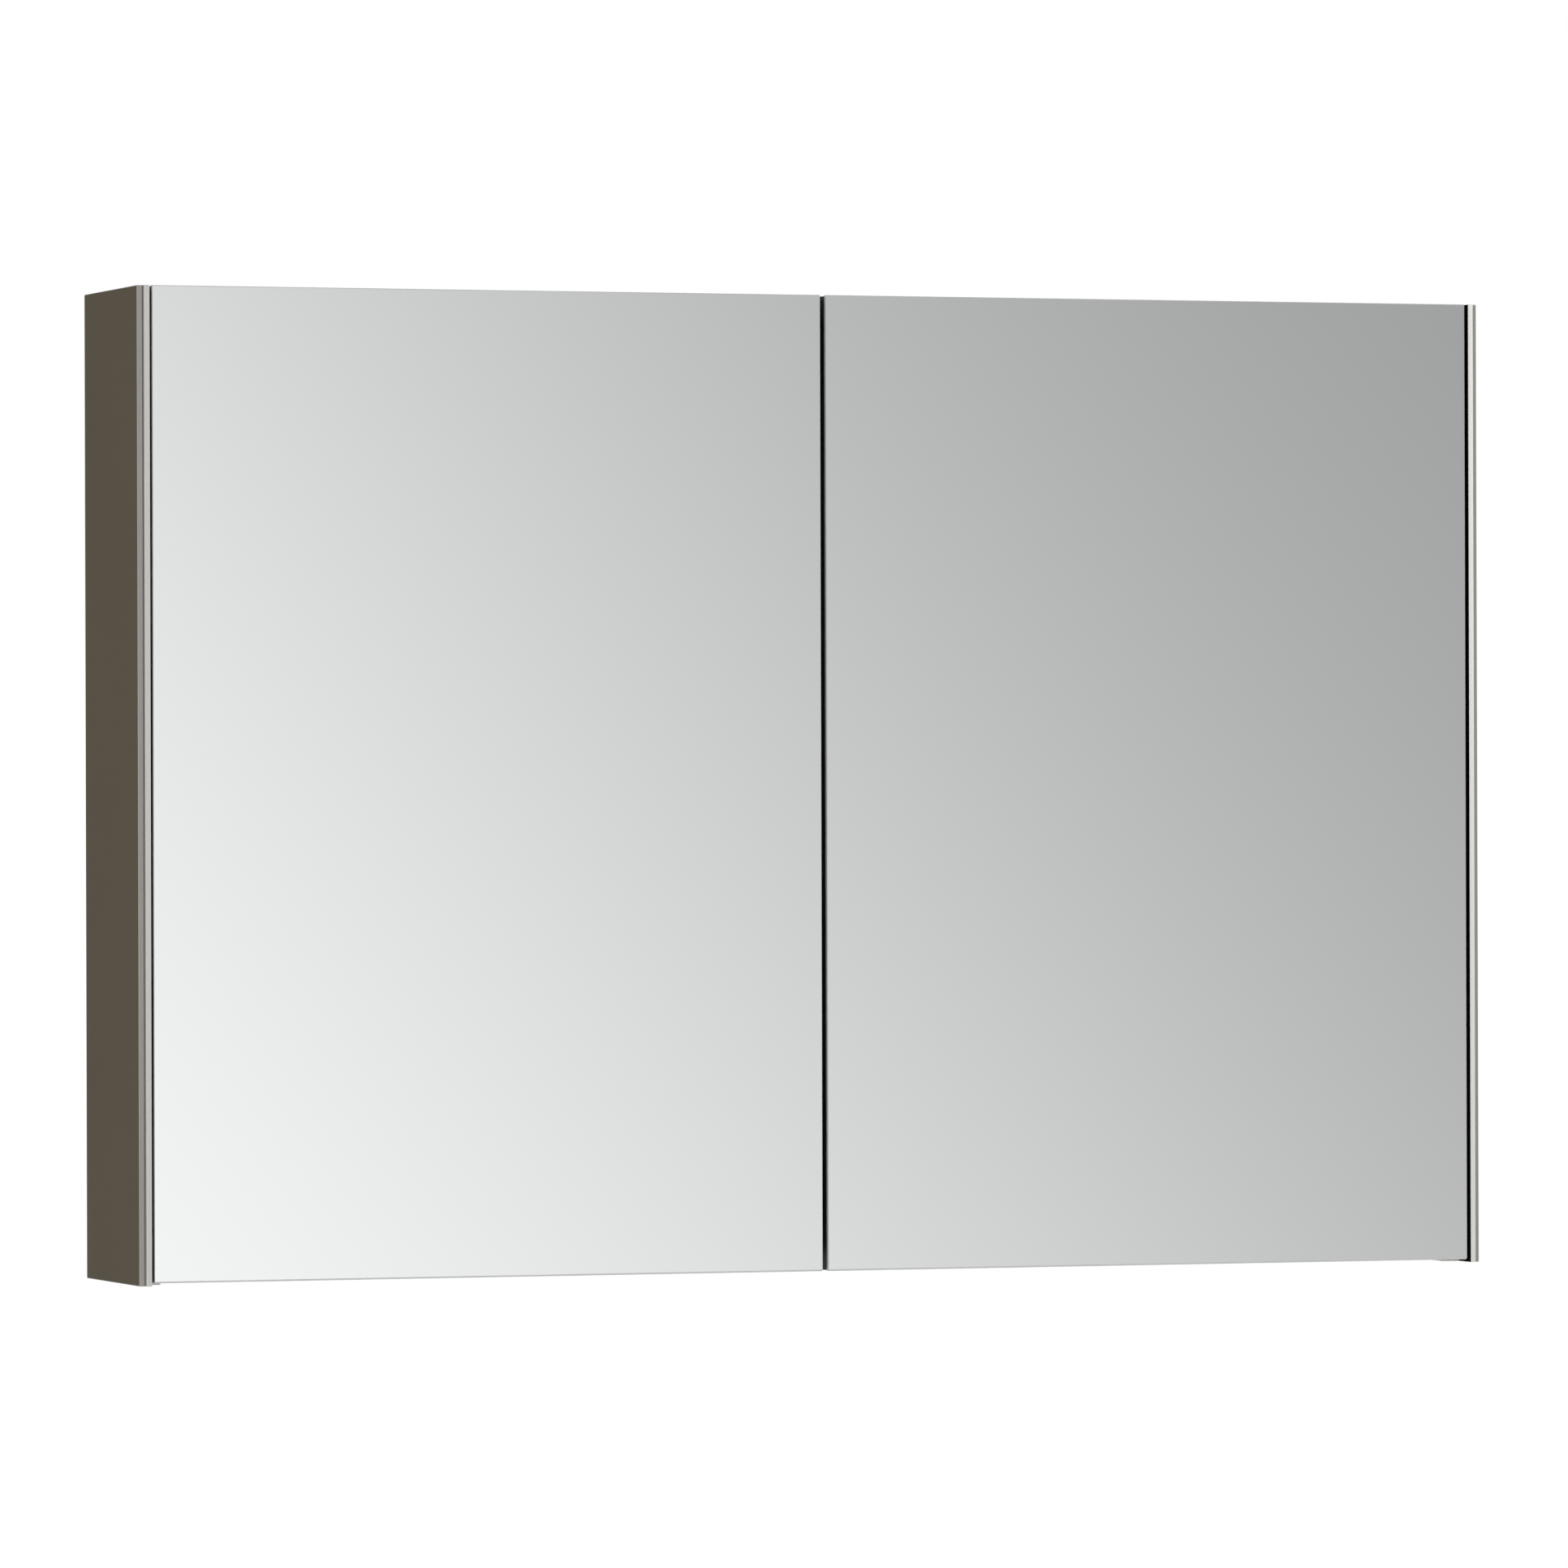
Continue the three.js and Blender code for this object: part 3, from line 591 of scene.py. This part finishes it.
# %% Side glasses and extrusions
PANEL_ARRIS = 0.4 * MM
DIE_RADIUS = 0.25 * MM
MOSTLY = 0.9  # a normal with this much of an axis points mostly along it
LIP_Y = -0.12  # the near-black painted shade covers the inner faces in front of this

for side, s in SIDES.items():
    node = f"{side}_side_glass"
    panel = break_edges(block(f"{side}_side_panel", *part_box(node)), PANEL_ARRIS, segments=1)
    coat(panel, ground_edge)
    coat(panel, taupe_glass, lambda middle, normal: abs(normal.x) > FACING)
    fit(panel, node)
    node = f"{side}_side_profile"
    extrusion = break_edges(merged_copy(node, f"{side}_extrusion"), DIE_RADIUS)
    coat(extrusion, anodised)
    # painted shade: the inner faces of the lip beside the door are coloured near black so the gap looks
    # dark
    coat(extrusion, lip_gap_painted_shade, lambda middle, normal: normal.x * s < -MOSTLY and middle.y < LIP_Y)
    fit(extrusion, node)

# %% [markdown]
# ## Caps for the hollow ends
#
# A moulded plug closes each end of a profile. A raised rim frames its face. An inset of the end
# face and a short move inwards make both at once.

# %% End caps
RIM = 1.6 * MM
RIM_RISE = 0.6 * MM
CAP_EDGE = 0.3 * MM

for side in SIDES:
    for end, up in (("top", 1), ("bottom", -1)):
        node = f"{side}_profile_cap_{end}"
        cap = block(f"{side}_end_cap_{end}", *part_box(node))
        edit(cap, faces=lambda middle, normal: normal.z * up > MOSTLY)
        bpy.ops.mesh.inset(thickness=RIM)
        bpy.ops.transform.translate(value=(0, 0, -RIM_RISE * up))
        settle(cap)
        fit(coat(break_edges(cap, CAP_EDGE), plastic), node)

# %% [markdown]
# ## Finishes of the carcass
#
# The boards are sprayed with satin lacquer. The spray leaves a faint orange peel, too low to see
# as bumps, but it breaks up every highlight. The back and the rib are left raw where they face
# the wall: brown fibreboard with paler flecks.

# %% Satin lacquer sprayed on board: an even colour with a faint orange peel
lacquer, tree, place = new_material("sprayed satin lacquer on board")
cloud = add(tree, "ShaderNodeTexNoise", Vector=place, Scale=1 / (120 * MM), Detail=3.0)
tint = add(tree, "ShaderNodeMix", BLEND, Factor=cloud, _6=colour("B5B4B0"), _7=colour("BFBEBA"))
patches = add(tree, "ShaderNodeTexNoise", Vector=place, Scale=1 / (4 * MM), Detail=3.0)
satin = add(tree, "ShaderNodeMapRange", Value=patches, **NOISE_SPAN, To_Min=0.38, To_Max=0.48)
peel = add(tree, "ShaderNodeTexNoise", Vector=place, Scale=1 / (1.6 * MM), Detail=1.0)
bump = add(tree, "ShaderNodeBump", Height=peel, Distance=0.012 * MM)
face = add(tree, "ShaderNodeBsdfPrincipled", Base_Color=tint.outputs[2], Roughness=satin, Normal=bump)
add(tree, "ShaderNodeOutputMaterial", Surface=face)

# %% Raw fibreboard: wood fibres pressed flat, brown, with paler and darker flecks
fibreboard, tree, place = new_material("raw pressed fibreboard")
pressed = add(tree, "ShaderNodeMapping", Vector=place, Scale=(1 / 3, 1, 1))
fine_noise = add(tree, "ShaderNodeTexNoise", Vector=pressed, Scale=1 / (1.5 * MM), Detail=6.0)
flecks = add(tree, "ShaderNodeMapRange", Value=fine_noise, **NOISE_SPAN)
tint = add(tree, "ShaderNodeMix", BLEND, Factor=flecks, _6=colour("8B6E4F"), _7=colour("A98B69"))
# Single fibres are finer than this; drawn coarser, to show.
nap = add(tree, "ShaderNodeTexNoise", Vector=place, Scale=1 / (1.2 * MM), Detail=5.0)
bump = add(tree, "ShaderNodeBump", Height=nap, Distance=0.05 * MM)
face = add(tree, "ShaderNodeBsdfPrincipled", Base_Color=tint.outputs[2], Roughness=0.85, Normal=bump)
add(tree, "ShaderNodeOutputMaterial", Surface=face)

# %% [markdown]
# ## Carcass
#
# Between the profiles sit the top and bottom panels, a centre partition, the back and a rib that
# rests on the wall. They are plain boards, so a block with broken edges is enough. The back has
# round holes, through which the hanging screws are reached, and comes from its measured solid.

# %% Panels
LACQUERED_EDGE = 0.6 * MM
BACK_EDGE = 0.3 * MM
RIB_EDGE = 0.8 * MM

for node, name in (("top_panel", "top_board"), ("bottom_panel", "bottom_board"),
                   ("centre_partition", "partition_board")):
    board = break_edges(block(name, *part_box(node)), LACQUERED_EDGE)
    fit(coat(board, lacquer), node)

back = break_edges(merged_copy("back_panel", "back_board"), BACK_EDGE)
coat(back, lacquer)
fit(coat(back, fibreboard, lambda middle, normal: normal.y > MOSTLY), "back_panel")
rib = break_edges(block("wall_rib", *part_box("back_rib")), RIB_EDGE)
fit(coat(rib, fibreboard), "back_rib")

# %% [markdown]
# ## Finishes of the shelves
#
# A shelf is clear float glass. Its polished edge looks much greener than its face, because the
# light that leaves there has run a long way through the glass. One glass shader can't show that
# at this thickness, so the edge has a green of its own. The rails are the anodised metal again,
# with die lines from front to back.

# %% Clear shelf glass: floated flat, faintly green, with a breath of haze on it
shelf_glass, tree, place = new_material("clear float glass")
haze = add(tree, "ShaderNodeTexNoise", Vector=place, Scale=1 / (120 * MM), Detail=3.0)
gloss = add(tree, "ShaderNodeMapRange", Value=haze, **NOISE_SPAN, To_Min=0.0, To_Max=0.02)
face = add(tree, "ShaderNodeBsdfPrincipled", Base_Color=colour("EAF5F1"), IOR=1.52,
           Transmission_Weight=1.0, Roughness=gloss)
add(tree, "ShaderNodeOutputMaterial", Surface=face)

# %% The polished edge of a shelf, where light that has run through the glass comes out green
shelf_edge, tree, place = new_material("polished shelf edge")
along = add(tree, "ShaderNodeMapping", Vector=place, Scale=(1 / 8, 1, 1))
depth = add(tree, "ShaderNodeTexNoise", Vector=along, Scale=1 / (8 * MM), Detail=3.0)
tint = add(tree, "ShaderNodeMix", BLEND, Factor=depth, _6=colour("A9CFC2"), _7=colour("BBDCD1"))
face = add(tree, "ShaderNodeBsdfPrincipled", Base_Color=tint.outputs[2], Roughness=0.12, IOR=1.52,
           Transmission_Weight=0.45)
add(tree, "ShaderNodeOutputMaterial", Surface=face)

# %% The same metal as a short shelf rail, whose die lines run from front to back
anodised_rail, tree, place = new_material("satin anodised aluminium rail")
along = add(tree, "ShaderNodeMapping", Vector=place, Scale=(1, 1 / 400, 1))
lines = add(tree, "ShaderNodeTexNoise", Vector=along, Scale=1 / (0.4 * MM), Detail=2.0)
tint = add(tree, "ShaderNodeMix", BLEND, Factor=lines, _6=colour("CAC9C6"), _7=colour("E0DFDC"))
etch = add(tree, "ShaderNodeTexNoise", Vector=place, Scale=1 / (0.6 * MM), Detail=3.0)
satin = add(tree, "ShaderNodeMapRange", Value=etch, **NOISE_SPAN, To_Min=0.34, To_Max=0.44)
bump = add(tree, "ShaderNodeBump", Height=lines, Distance=0.005 * MM)
face = add(tree, "ShaderNodeBsdfPrincipled", Base_Color=tint.outputs[2], Metallic=1.0, Roughness=satin,
           Normal=bump)
add(tree, "ShaderNodeOutputMaterial", Surface=face)

# %% [markdown]
# ## Shelves and their rails
#
# Two glass shelves in each half rest in rails on the side and on the partition. The shelves are
# blocks with a polished arris; the rails keep their measured channel section.

# %% Shelves and their rails
SHELF_ARRIS = 0.8 * MM
RAIL_EDGE = 0.4 * MM

for side in SIDES:
    for level in LEVELS:
        node = f"{side}_{level}_shelf"
        shelf = break_edges(block(f"{side}_{level}_glass_shelf", *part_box(node)), SHELF_ARRIS)
        coat(shelf, shelf_edge)
        coat(shelf, shelf_glass, lambda middle, normal: abs(normal.z) > FACING)
        fit(shelf, node)
        for end in ("outer", "inner"):
            node = f"{side}_{level}_shelf_clip_{end}"
            rail = break_edges(merged_copy(node, f"{side}_{level}_shelf_rail_{end}"), RAIL_EDGE)
            fit(coat(rail, anodised_rail), node)

# %% [markdown]
# ## Concealed hinges
#
# Each door hangs on two hinges with a cup let into the board, a link, and an arm clipped to a
# plate on the side. All are pressed from steel and nickel plated. One hinge is modelled at its
# place in the upper left corner and copied to the other three, mirrored for the right side. The
# pins lie on the measured joint axes, so the copies turn about them when the door opens. Boolean
# modifiers cut the bores and slots, as a drill or a cutter does.

# %% Nickel plating on pressed steel: bright and slightly warm, softened by tumbling
nickel, tree, place = new_material("nickel plated pressed steel")
cloud = add(tree, "ShaderNodeTexNoise", Vector=place, Scale=1 / (9 * MM), Detail=3.0)
tint = add(tree, "ShaderNodeMix", BLEND, Factor=cloud, _6=colour("B9B5AD"), _7=colour("CECBC4"))
# Tumbling leaves finer marks; drawn coarser, to show.
tumbled = add(tree, "ShaderNodeTexNoise", Vector=place, Scale=1 / (2.5 * MM), Detail=3.0)
shine = add(tree, "ShaderNodeMapRange", Value=tumbled, **NOISE_SPAN, To_Min=0.2, To_Max=0.26)
bump = add(tree, "ShaderNodeBump", Height=tumbled, Distance=0.0015 * MM)
face = add(tree, "ShaderNodeBsdfPrincipled", Base_Color=tint.outputs[2], Metallic=1.0, Roughness=shine,
           Normal=bump)
add(tree, "ShaderNodeOutputMaterial", Surface=face)

# %% Round bars, cuts and copies
def cylinder(name, centre, radius, length, axis, sides=64):
    """A round bar about one axis."""
    deselect()
    bpy.ops.mesh.primitive_cylinder_add(vertices=sides, radius=radius, depth=length,
                                        location=centre, rotation=AXES[axis])
    bpy.context.object.name = name
    return settle(bpy.context.object)


def combine(piece, tool, operation):
    """Cuts or joins one piece with another, which is used up."""
    choose(piece)
    modifier = piece.modifiers.new("cut", "BOOLEAN")
    modifier.operation = operation
    modifier.solver = "EXACT"
    modifier.object = tool
    bpy.ops.object.modifier_apply(modifier=modifier.name)
    bpy.data.objects.remove(tool)
    return piece


def placed_copy(piece, name, matrix):
    """A copy with its own mesh, put somewhere else; a mirrored one has its faces turned out again."""
    made = bpy.data.objects.new(name, piece.data.copy())
    bpy.context.scene.collection.objects.link(made)
    made.matrix_world = matrix
    settle(made)
    if matrix.determinant() < 0:
        edit(made, faces=lambda middle, normal: True)
        bpy.ops.mesh.normals_make_consistent(inside=False)
        settle(made)
    return made


# %% [markdown]
# ## Screw heads
#
# The screws have a pan head with a cross recess. The head is a short bar with a domed edge, and
# two crossed blades cut the recess. It is made once, at the origin, and copied to every screw.

# %% Screw heads
HEAD_RADIUS = 3.6 * MM
HEAD_HEIGHT = 1.5 * MM
DOME = 0.45  # the domed part of the height
SLOT_REACH, SLOT_HALF = 0.62, 0.13  # of the radius, from the middle
SLOT_FLOOR = 0.45  # of the height


def screw_head(radius, height):
    """A screw head that stands on the origin along +Z."""
    head = cylinder("screw_head", (0, 0, height / 2), radius, height, "z", sides=40)
    edit(head, edges=lambda middle, way: middle.z > height - NEAR)
    bpy.ops.mesh.bevel(offset=height * DOME, segments=4, affect="EDGES")
    settle(head)
    arm, width, floor_z = radius * SLOT_REACH, radius * SLOT_HALF, height * SLOT_FLOOR
    for across in ((arm, width), (width, arm)):
        blade = block("recess", (-across[0], -across[1], floor_z), (across[0], across[1], height * 2))
        combine(head, blade, "DIFFERENCE")
    return shade(head)


def screws(name, head, places, direction):
    """Copies of a screw head at some places, facing along a direction."""
    turn = Vector(direction).to_track_quat("Z", "Y").to_matrix().to_4x4()
    return [placed_copy(head, f"{name}_{i}", Matrix.Translation(p) @ turn) for i, p in enumerate(places)]


hinge_head = screw_head(HEAD_RADIUS, HEAD_HEIGHT)
print("screw head faces", len(hinge_head.data.polygons))

# %% [markdown]
# ## The pins
#
# The joints of the record give the axes that the hinge turns about. The pins are put exactly on
# them, at the height of the upper hinge.

# %% Axes of the hinge, from the joints
JOINTS = {j["name"]: Vector(j["pos_m"]) for j in frame["record"]["behaviour"]["joints"] if "pos_m" in j}
LEVEL_Z = {level: sum(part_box(f"left_{level}_hinge_cup"), Vector()).z / 2 for level in LEVELS}
pattern_z = Vector((0, 0, LEVEL_Z["upper"]))
cup_pin = JOINTS["left_door_swing"] + pattern_z
arm_pin = JOINTS["left_link_swing"] + pattern_z
PIN_RADIUS = 1.4 * MM
PIN_HOLE = 1.7 * MM
LINK_HALF = 5 * MM
print("pins", tuple(cup_pin), tuple(arm_pin))

# %% [markdown]
# ## The cup
#
# The cup is drawn from sheet: a pan with a flange that has rounded corners. A bar joined to a
# plate and then hollowed gives the same shape. The rolled rim is a ring of its own, because a
# ring that only touches the flange along a line would leave a ragged cut. A gate in the wall lets
# the link swing out.

# %% Rounded corners and joined meshes
def round_corners(piece, axis, radius, segments=8):
    """Rounds the edges that run along one axis."""
    edit(piece, edges=lambda middle, way: abs(way["xyz".index(axis)]) > MOSTLY)
    bpy.ops.mesh.bevel(offset=radius, segments=segments, affect="EDGES")
    return settle(piece)


def join(pieces):
    """Several meshes as one object; the first keeps its name."""
    deselect()
    for piece in pieces:
        piece.select_set(True)
    bpy.context.view_layer.objects.active = pieces[0]
    bpy.ops.object.join()
    return pieces[0]


# %% The pan and its flange
CUP_RADIUS = 17 * MM
CUP_WALL = 1.4 * MM
CUP_FLOOR = 1 * MM
FLANGE_THICK = 2.2 * MM
FLANGE_CORNER = 6 * MM
HEAD_PROUD = 1.2 * MM  # how far a screw head stands out of the flange
DRILL = 20 * MM
ROUND = 96

low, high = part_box("left_upper_hinge_cup")
middle = (low + high) / 2
flange_back = high.y - HEAD_PROUD
cup = cylinder("hinge_cup", (middle.x, (low.y + flange_back) / 2, middle.z), CUP_RADIUS,
               flange_back - low.y, "y", sides=ROUND)
flange = block("flange", (low.x, flange_back - FLANGE_THICK, low.z), (high.x, flange_back, high.z))
combine(cup, round_corners(flange, "y", FLANGE_CORNER), "UNION")
hollow = cylinder("hollow", (middle.x, low.y + CUP_FLOOR + DRILL / 2, middle.z),
                  CUP_RADIUS - CUP_WALL, DRILL, "y", sides=ROUND)
combine(cup, hollow, "DIFFERENCE")
print("cup radius", CUP_RADIUS, "flange", tuple(high - low))

# %% The rim, the gate and the screws
RIM_INSET = 0.7 * MM
RIM_WIRE = 0.8 * MM
GATE_PLAY = 1.2 * MM
GATE_REACH = 8 * MM
GATE_FLOOR = 0.5 * MM  # beyond the pin, towards the floor of the cup
PIN_BORE = 22.4 * MM
PRESSED_EDGE = 0.2 * MM
CUP_SCREW_Z = 24 * MM
HEAD_SUNK = 0.3 * MM

deselect()
bpy.ops.mesh.primitive_torus_add(major_radius=CUP_RADIUS - RIM_INSET, minor_radius=RIM_WIRE,
                                 major_segments=ROUND, minor_segments=16, rotation=AXES["y"],
                                 location=(middle.x, flange_back, middle.z))
rim = settle(bpy.context.object)
gate = LINK_HALF + GATE_PLAY
for part in (cup, rim):
    combine(part, block("gate", (low.x - GATE_REACH, cup_pin.y - GATE_FLOOR, middle.z - gate),
                        (cup_pin.x, high.y + MM, middle.z + gate)), "DIFFERENCE")
combine(cup, cylinder("pin_hole", cup_pin, PIN_HOLE, PIN_BORE, "z", sides=32), "DIFFERENCE")
break_edges(cup, PRESSED_EDGE)
places = [Vector((middle.x, flange_back - HEAD_SUNK, middle.z + dz))
          for dz in (-CUP_SCREW_Z, CUP_SCREW_Z)]
cup = join([cup, shade(rim), *screws("cup_screw", hinge_head, places, (0, 1, 0))])
print("cup faces", len(cup.data.polygons))

# %% [markdown]
# ## The link
#
# The link is a flat bar between two knuckles, with a pin through each. A block is turned onto the
# line between the two pins, and round bars are joined to its ends.

# %% The link
LINK_THICK = 3 * MM
LINK_EDGE = 0.3 * MM
KNUCKLES = (  # pin, radius of its knuckle, reach of the pin each way
    (cup_pin, 2.1 * MM, 10.4 * MM),
    (arm_pin, 2.8 * MM, 8.5 * MM),
)

span = arm_pin - cup_pin
slope = math.atan2(span.y, span.x)
deselect()
bpy.ops.mesh.primitive_cube_add(size=1, location=(cup_pin + arm_pin) / 2, rotation=(0, 0, slope),
                                scale=(span.length, LINK_THICK, 2 * LINK_HALF))
link = settle(bpy.context.object)
link.name = "hinge_link"
for pin, knuckle, reach in KNUCKLES:
    combine(link, cylinder("knuckle", pin, knuckle, 2 * LINK_HALF, "z", sides=48), "UNION")
    combine(link, cylinder("pin", pin, PIN_RADIUS, 2 * reach, "z", sides=32), "UNION")
break_edges(link, LINK_EDGE)
print("link faces", len(link.data.polygons))

# %% [markdown]
# ## The arm
#
# The arm is a channel along the side of the cabinet, cranked round the edge of the board and
# ending in a forked nose that holds the link. On its face are the slot of the depth screw and a
# field that the press leaves lower. Blocks are joined in the order of the bends, and then cut.

# %% The arm
ARM_DEEP = 7.7 * MM
SETBACK = 2 * MM  # from the pin back to the shoulder
CRANK_THICK = 5.5 * MM
NOSE = 3.8 * MM
NOSE_ROOT = 4 * MM

low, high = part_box("left_upper_hinge_arm")
deep_x = low.x + ARM_DEEP
shoulder = arm_pin.y + SETBACK
arm = block("hinge_arm", (low.x, shoulder, low.z), (deep_x, high.y, high.z))
combine(arm, block("crank", (deep_x - MM, shoulder, low.z),
                   (arm_pin.x, shoulder + CRANK_THICK, high.z)), "UNION")
combine(arm, block("nose_root", (arm_pin.x - NOSE, arm_pin.y, low.z),
                   (arm_pin.x + NOSE, shoulder + NOSE_ROOT, high.z)), "UNION")
combine(arm, cylinder("nose", arm_pin, NOSE, high.z - low.z, "z", sides=48), "UNION")
print("arm box", tuple(low), tuple(high))

# %% The fork, the slot and the pressed field
FORK_PLAY = 0.5 * MM
FORK_X = (-7 * MM, 6 * MM)  # from the pin
FORK_Y = (-5 * MM, 4.4 * MM)
SCREW_FROM_END = 14 * MM
SLOT_DEEP, SLOT_LONG, SLOT_WIDE = 1.2 * MM, 14 * MM, 5.2 * MM
FIELD_DEEP, FIELD_WIDE = 0.6 * MM, 10 * MM
FIELD_Y = (-27 * MM, -12 * MM)  # from the screw
ARM_EDGE = 0.5 * MM
ARM_HEAD_SUNK = 0.4 * MM

fork = LINK_HALF + FORK_PLAY
combine(arm, block("fork", (arm_pin.x + FORK_X[0], arm_pin.y + FORK_Y[0], arm_pin.z - fork),
                   (arm_pin.x + FORK_X[1], arm_pin.y + FORK_Y[1], arm_pin.z + fork)), "DIFFERENCE")
combine(arm, cylinder("arm_pin_hole", arm_pin, PIN_HOLE, DRILL, "z", sides=32), "DIFFERENCE")
screw_y = high.y - SCREW_FROM_END
combine(arm, block("slot", (deep_x - SLOT_DEEP, screw_y - SLOT_LONG / 2, arm_pin.z - SLOT_WIDE / 2),
                   (deep_x + MM, screw_y + SLOT_LONG / 2, arm_pin.z + SLOT_WIDE / 2)), "DIFFERENCE")
combine(arm, block("press_mark", (deep_x - FIELD_DEEP, screw_y + FIELD_Y[0], arm_pin.z - FIELD_WIDE / 2),
                   (deep_x + MM, screw_y + FIELD_Y[1], arm_pin.z + FIELD_WIDE / 2)), "DIFFERENCE")
break_edges(arm, ARM_EDGE)
places = [Vector((deep_x - ARM_HEAD_SUNK, screw_y, arm_pin.z))]
arm = join([arm, *screws("arm_screw", hinge_head, places, (1, 0, 0))])
print("arm faces", len(arm.data.polygons))

# %% [markdown]
# ## The plate
#
# The plate is the foot of the hinge: a body that the arm clips onto and two wings screwed to the
# side of the cabinet.

# %% The plate
PLATE_THICK = 2.2 * MM
WING_Y = (-94 * MM, -66 * MM)
WING_CORNER = 5 * MM
BODY_HALF = 10 * MM
BODY_CORNER = 2 * MM
PLATE_EDGE = 0.4 * MM
PLATE_SCREW_Y, PLATE_SCREW_Z = -80 * MM, 15.5 * MM
PLATE_HEAD_SUNK = 0.2 * MM

low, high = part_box("left_upper_hinge_plate")
wings = block("wings", (low.x, WING_Y[0], low.z), (low.x + PLATE_THICK, WING_Y[1], high.z))
wings = round_corners(wings, "x", WING_CORNER)
body = block("hinge_plate", (low.x, low.y, middle.z - BODY_HALF), (high.x, high.y, middle.z + BODY_HALF))
plate = combine(round_corners(body, "x", BODY_CORNER, segments=4), wings, "UNION")
break_edges(plate, PLATE_EDGE)
places = [Vector((low.x + PLATE_THICK - PLATE_HEAD_SUNK, PLATE_SCREW_Y, middle.z + dz))
          for dz in (-PLATE_SCREW_Z, PLATE_SCREW_Z)]
plate = join([plate, *screws("plate_screw", hinge_head, places, (1, 0, 0))])
print("plate faces", len(plate.data.polygons))

# %% [markdown]
# ## Four hinges from one
#
# The finished hinge is copied down to the lower place and mirrored to the right side. Each copy
# has a mesh of its own, so that its place can go into it.

# %% The four hinges
for side, s in SIDES.items():
    for level in LEVELS:
        shift = Matrix.Translation((0, 0, LEVEL_Z[level] - LEVEL_Z["upper"]))
        mirrored = Matrix.Scale(-s, 4, (1, 0, 0))
        for part, pattern in (("cup", cup), ("link", link), ("arm", arm), ("plate", plate)):
            piece = placed_copy(pattern, f"{side}_{level}_{part}", shift @ mirrored)
            fit(coat(piece, nickel), f"{side}_{level}_hinge_{part}")
for pattern in (cup, link, arm, plate):
    bpy.data.objects.remove(pattern)

# %% [markdown]
# ## Door bumpers
#
# A soft dot behind each free door corner takes the knock when the door closes. It is cast from a
# clear gel that is a little milky, with a domed face. A short bar whose free edge is bevelled in
# several steps has that dome.

# %% Bumper gel: cast polyurethane, milky and half clear, a little cloudy inside
gel, tree, place = new_material("cast polyurethane gel")
cloud = add(tree, "ShaderNodeTexNoise", Vector=place, Scale=1 / (5 * MM), Detail=3.0)
tint = add(tree, "ShaderNodeMix", BLEND, Factor=cloud, _6=colour("D6D7D6"), _7=colour("E4E5E4"))
face = add(tree, "ShaderNodeBsdfPrincipled", Base_Color=tint.outputs[2], Roughness=0.35,
           Transmission_Weight=0.5, IOR=1.43)
add(tree, "ShaderNodeOutputMaterial", Surface=face)

# %% The bumpers
DOT_DOME = 1.4 * MM

for side in SIDES:
    for end in ("top", "bottom"):
        node = f"{side}_door_bumper_{end}"
        low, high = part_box(node)
        radius = (high.z - low.z) / 2
        dot = cylinder(f"{side}_bumper_{end}", (low + high) / 2, radius, high.y - low.y, "y", sides=48)
        edit(dot, edges=lambda middle, way: middle.y > high.y - NEAR)
        bpy.ops.mesh.bevel(offset=DOT_DOME, segments=6, affect="EDGES")
        fit(coat(shade(settle(dot)), gel), node)

# %% [markdown]
# ## The hanging set
#
# Behind the back panel a zinc plated case at each side carries a hook, which hangs on a rail that
# is screwed to the wall. A screw reached from inside lifts or lowers the hook. The pressed parts
# come from their measured solids; the screw is a bar with a head like those of the hinges, drawn
# out to its own size.

# %% Zinc plating: cloudy patches in a bluish passive film
zinc, tree, place = new_material("blue passivated zinc plated steel")
cloud = add(tree, "ShaderNodeTexNoise", Vector=place, Scale=1 / (14 * MM), Detail=5.0)
patches = add(tree, "ShaderNodeMapRange", Value=cloud, **NOISE_SPAN)
tint = add(tree, "ShaderNodeMix", BLEND, Factor=patches, _6=colour("A3A9AF"), _7=colour("BCBBB3"))
film = add(tree, "ShaderNodeTexNoise", Vector=place, Scale=1 / (6 * MM), Detail=3.0)
shine = add(tree, "ShaderNodeMapRange", Value=film, **NOISE_SPAN, To_Min=0.3, To_Max=0.45)
# Zinc crystals are finer than this; drawn coarser, to show.
crystals = add(tree, "ShaderNodeTexNoise", Vector=place, Scale=1 / (0.9 * MM), Detail=3.0)
bump = add(tree, "ShaderNodeBump", Height=crystals, Distance=0.01 * MM)
face = add(tree, "ShaderNodeBsdfPrincipled", Base_Color=tint.outputs[2], Metallic=1.0, Roughness=shine,
           Normal=bump)
add(tree, "ShaderNodeOutputMaterial", Surface=face)

# %% Hanger screws
LONG_HEAD = 3 * MM
SHANK_RADIUS = 4 * MM
SHANK_EDGE = 0.4 * MM

for side in SIDES:
    node = f"{side}_hanger_screw"
    low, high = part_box(node)
    middle = (low + high) / 2
    wider = (high.z - low.z) / 2 / HEAD_RADIUS
    shank = cylinder(f"{side}_hanging_screw", (middle.x, (low.y + LONG_HEAD + high.y) / 2, middle.z),
                     SHANK_RADIUS, high.y - low.y - LONG_HEAD, "y", sides=40)
    break_edges(shank, SHANK_EDGE)
    head = placed_copy(hinge_head, "head", Matrix.Translation((middle.x, low.y + LONG_HEAD, middle.z))
                       @ Vector((0, -1, 0)).to_track_quat("Z", "Y").to_matrix().to_4x4()
                       @ Matrix.Diagonal((wider, wider, LONG_HEAD / HEAD_HEIGHT, 1)))
    fit(coat(join([shank, head]), zinc), node)
bpy.data.objects.remove(hinge_head)

# %% Cases, hooks and the wall rail
HANGER_EDGE = 0.35 * MM

for node in ("left_hanger_case", "right_hanger_case", "left_hanger_hook", "right_hanger_hook",
             "wall_rail"):
    part = break_edges(merged_copy(node, f"{node}_pressed"), HANGER_EDGE)
    fit(coat(part, zinc), node)
print("finishes", len(bpy.data.materials))
